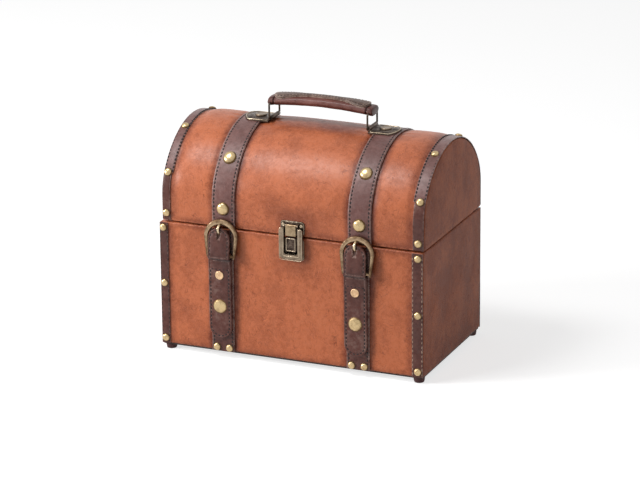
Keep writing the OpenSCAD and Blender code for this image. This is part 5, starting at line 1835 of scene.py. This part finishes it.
class TrunkSizes(bpy.types.PropertyGroup):
    """Sizes of the small repeated pieces"""
    stitch_pitch: bpy.props.FloatProperty(
        name="Stitch pitch", description="Distance from one stitch to the next",
        default=0.004, min=0.001, subtype="DISTANCE", unit="LENGTH")
    nail_width: bpy.props.FloatProperty(
        name="Nail width", description="Width of the domed nails",
        default=0.00825, min=0.002, subtype="DISTANCE", unit="LENGTH")
    stud_width: bpy.props.FloatProperty(
        name="Stud width", description="Width of the studs on the lid's straps",
        default=0.0138, min=0.002, subtype="DISTANCE", unit="LENGTH")


class TrunkColours(bpy.types.PropertyGroup):
    """Colours of the trunk's materials"""
    tan: bpy.props.FloatVectorProperty(
        name="Leather", description="Leather of the box and the lid",
        default=linear(198, 112, 74), min=0, max=1, subtype="COLOR")
    strap: bpy.props.FloatVectorProperty(
        name="Straps", description="Leather of the straps and strips",
        default=linear(90, 48, 39), min=0, max=1, subtype="COLOR")
    brass: bpy.props.FloatVectorProperty(
        name="Brass", description="Metal of the nails and studs",
        default=linear(194, 170, 128), min=0, max=1, subtype="COLOR")
    cloth: bpy.props.FloatVectorProperty(
        name="Lining", description="Cloth inside the box and the lid",
        default=linear(190, 166, 132), min=0, max=1, subtype="COLOR")


class TRUNK_PT_pieces(bpy.types.Panel):
    """Pieces of the trunk"""
    bl_idname = "TRUNK_PT_pieces"
    bl_label = "Storage trunk"
    bl_space_type = "VIEW_3D"
    bl_region_type = "UI"
    bl_category = "Trunk"

    def draw(self, context):
        for group in (context.scene.trunk_sizes, context.scene.trunk_colours):
            for key in group.__annotations__:
                self.layout.prop(group, key)
        for piece in PIECES:
            self.layout.operator(piece.bl_idname)


PIECES = (TRUNK_OT_box_leather, TRUNK_OT_lid_leather, TRUNK_OT_strips, TRUNK_OT_stitches,
          TRUNK_OT_studs, TRUNK_OT_buckles, TRUNK_OT_latch, TRUNK_OT_hinges, TRUNK_OT_handle,
          TRUNK_OT_lining, TRUNK_OT_boards, TRUNK_OT_stage)
CLASSES = (TrunkSizes, TrunkColours, TRUNK_PT_pieces) + PIECES


def register():
    for cls in CLASSES:
        bpy.utils.register_class(cls)
    bpy.types.Scene.trunk_sizes = bpy.props.PointerProperty(type=TrunkSizes)
    bpy.types.Scene.trunk_colours = bpy.props.PointerProperty(type=TrunkColours)


def unregister():
    del bpy.types.Scene.trunk_colours
    del bpy.types.Scene.trunk_sizes
    for cls in reversed(CLASSES):
        bpy.utils.unregister_class(cls)


def main():
    register()
    bpy.ops.trunk.box_leather()
    bpy.ops.trunk.lid_leather()
    bpy.ops.trunk.strips()
    bpy.ops.trunk.stitches()
    bpy.ops.trunk.studs()
    bpy.ops.trunk.buckles()
    bpy.ops.trunk.latch()
    bpy.ops.trunk.hinges()
    bpy.ops.trunk.handle()
    bpy.ops.trunk.lining()
    bpy.ops.trunk.boards()
    bpy.ops.trunk.stage()


if __name__ == "__main__":
    main()
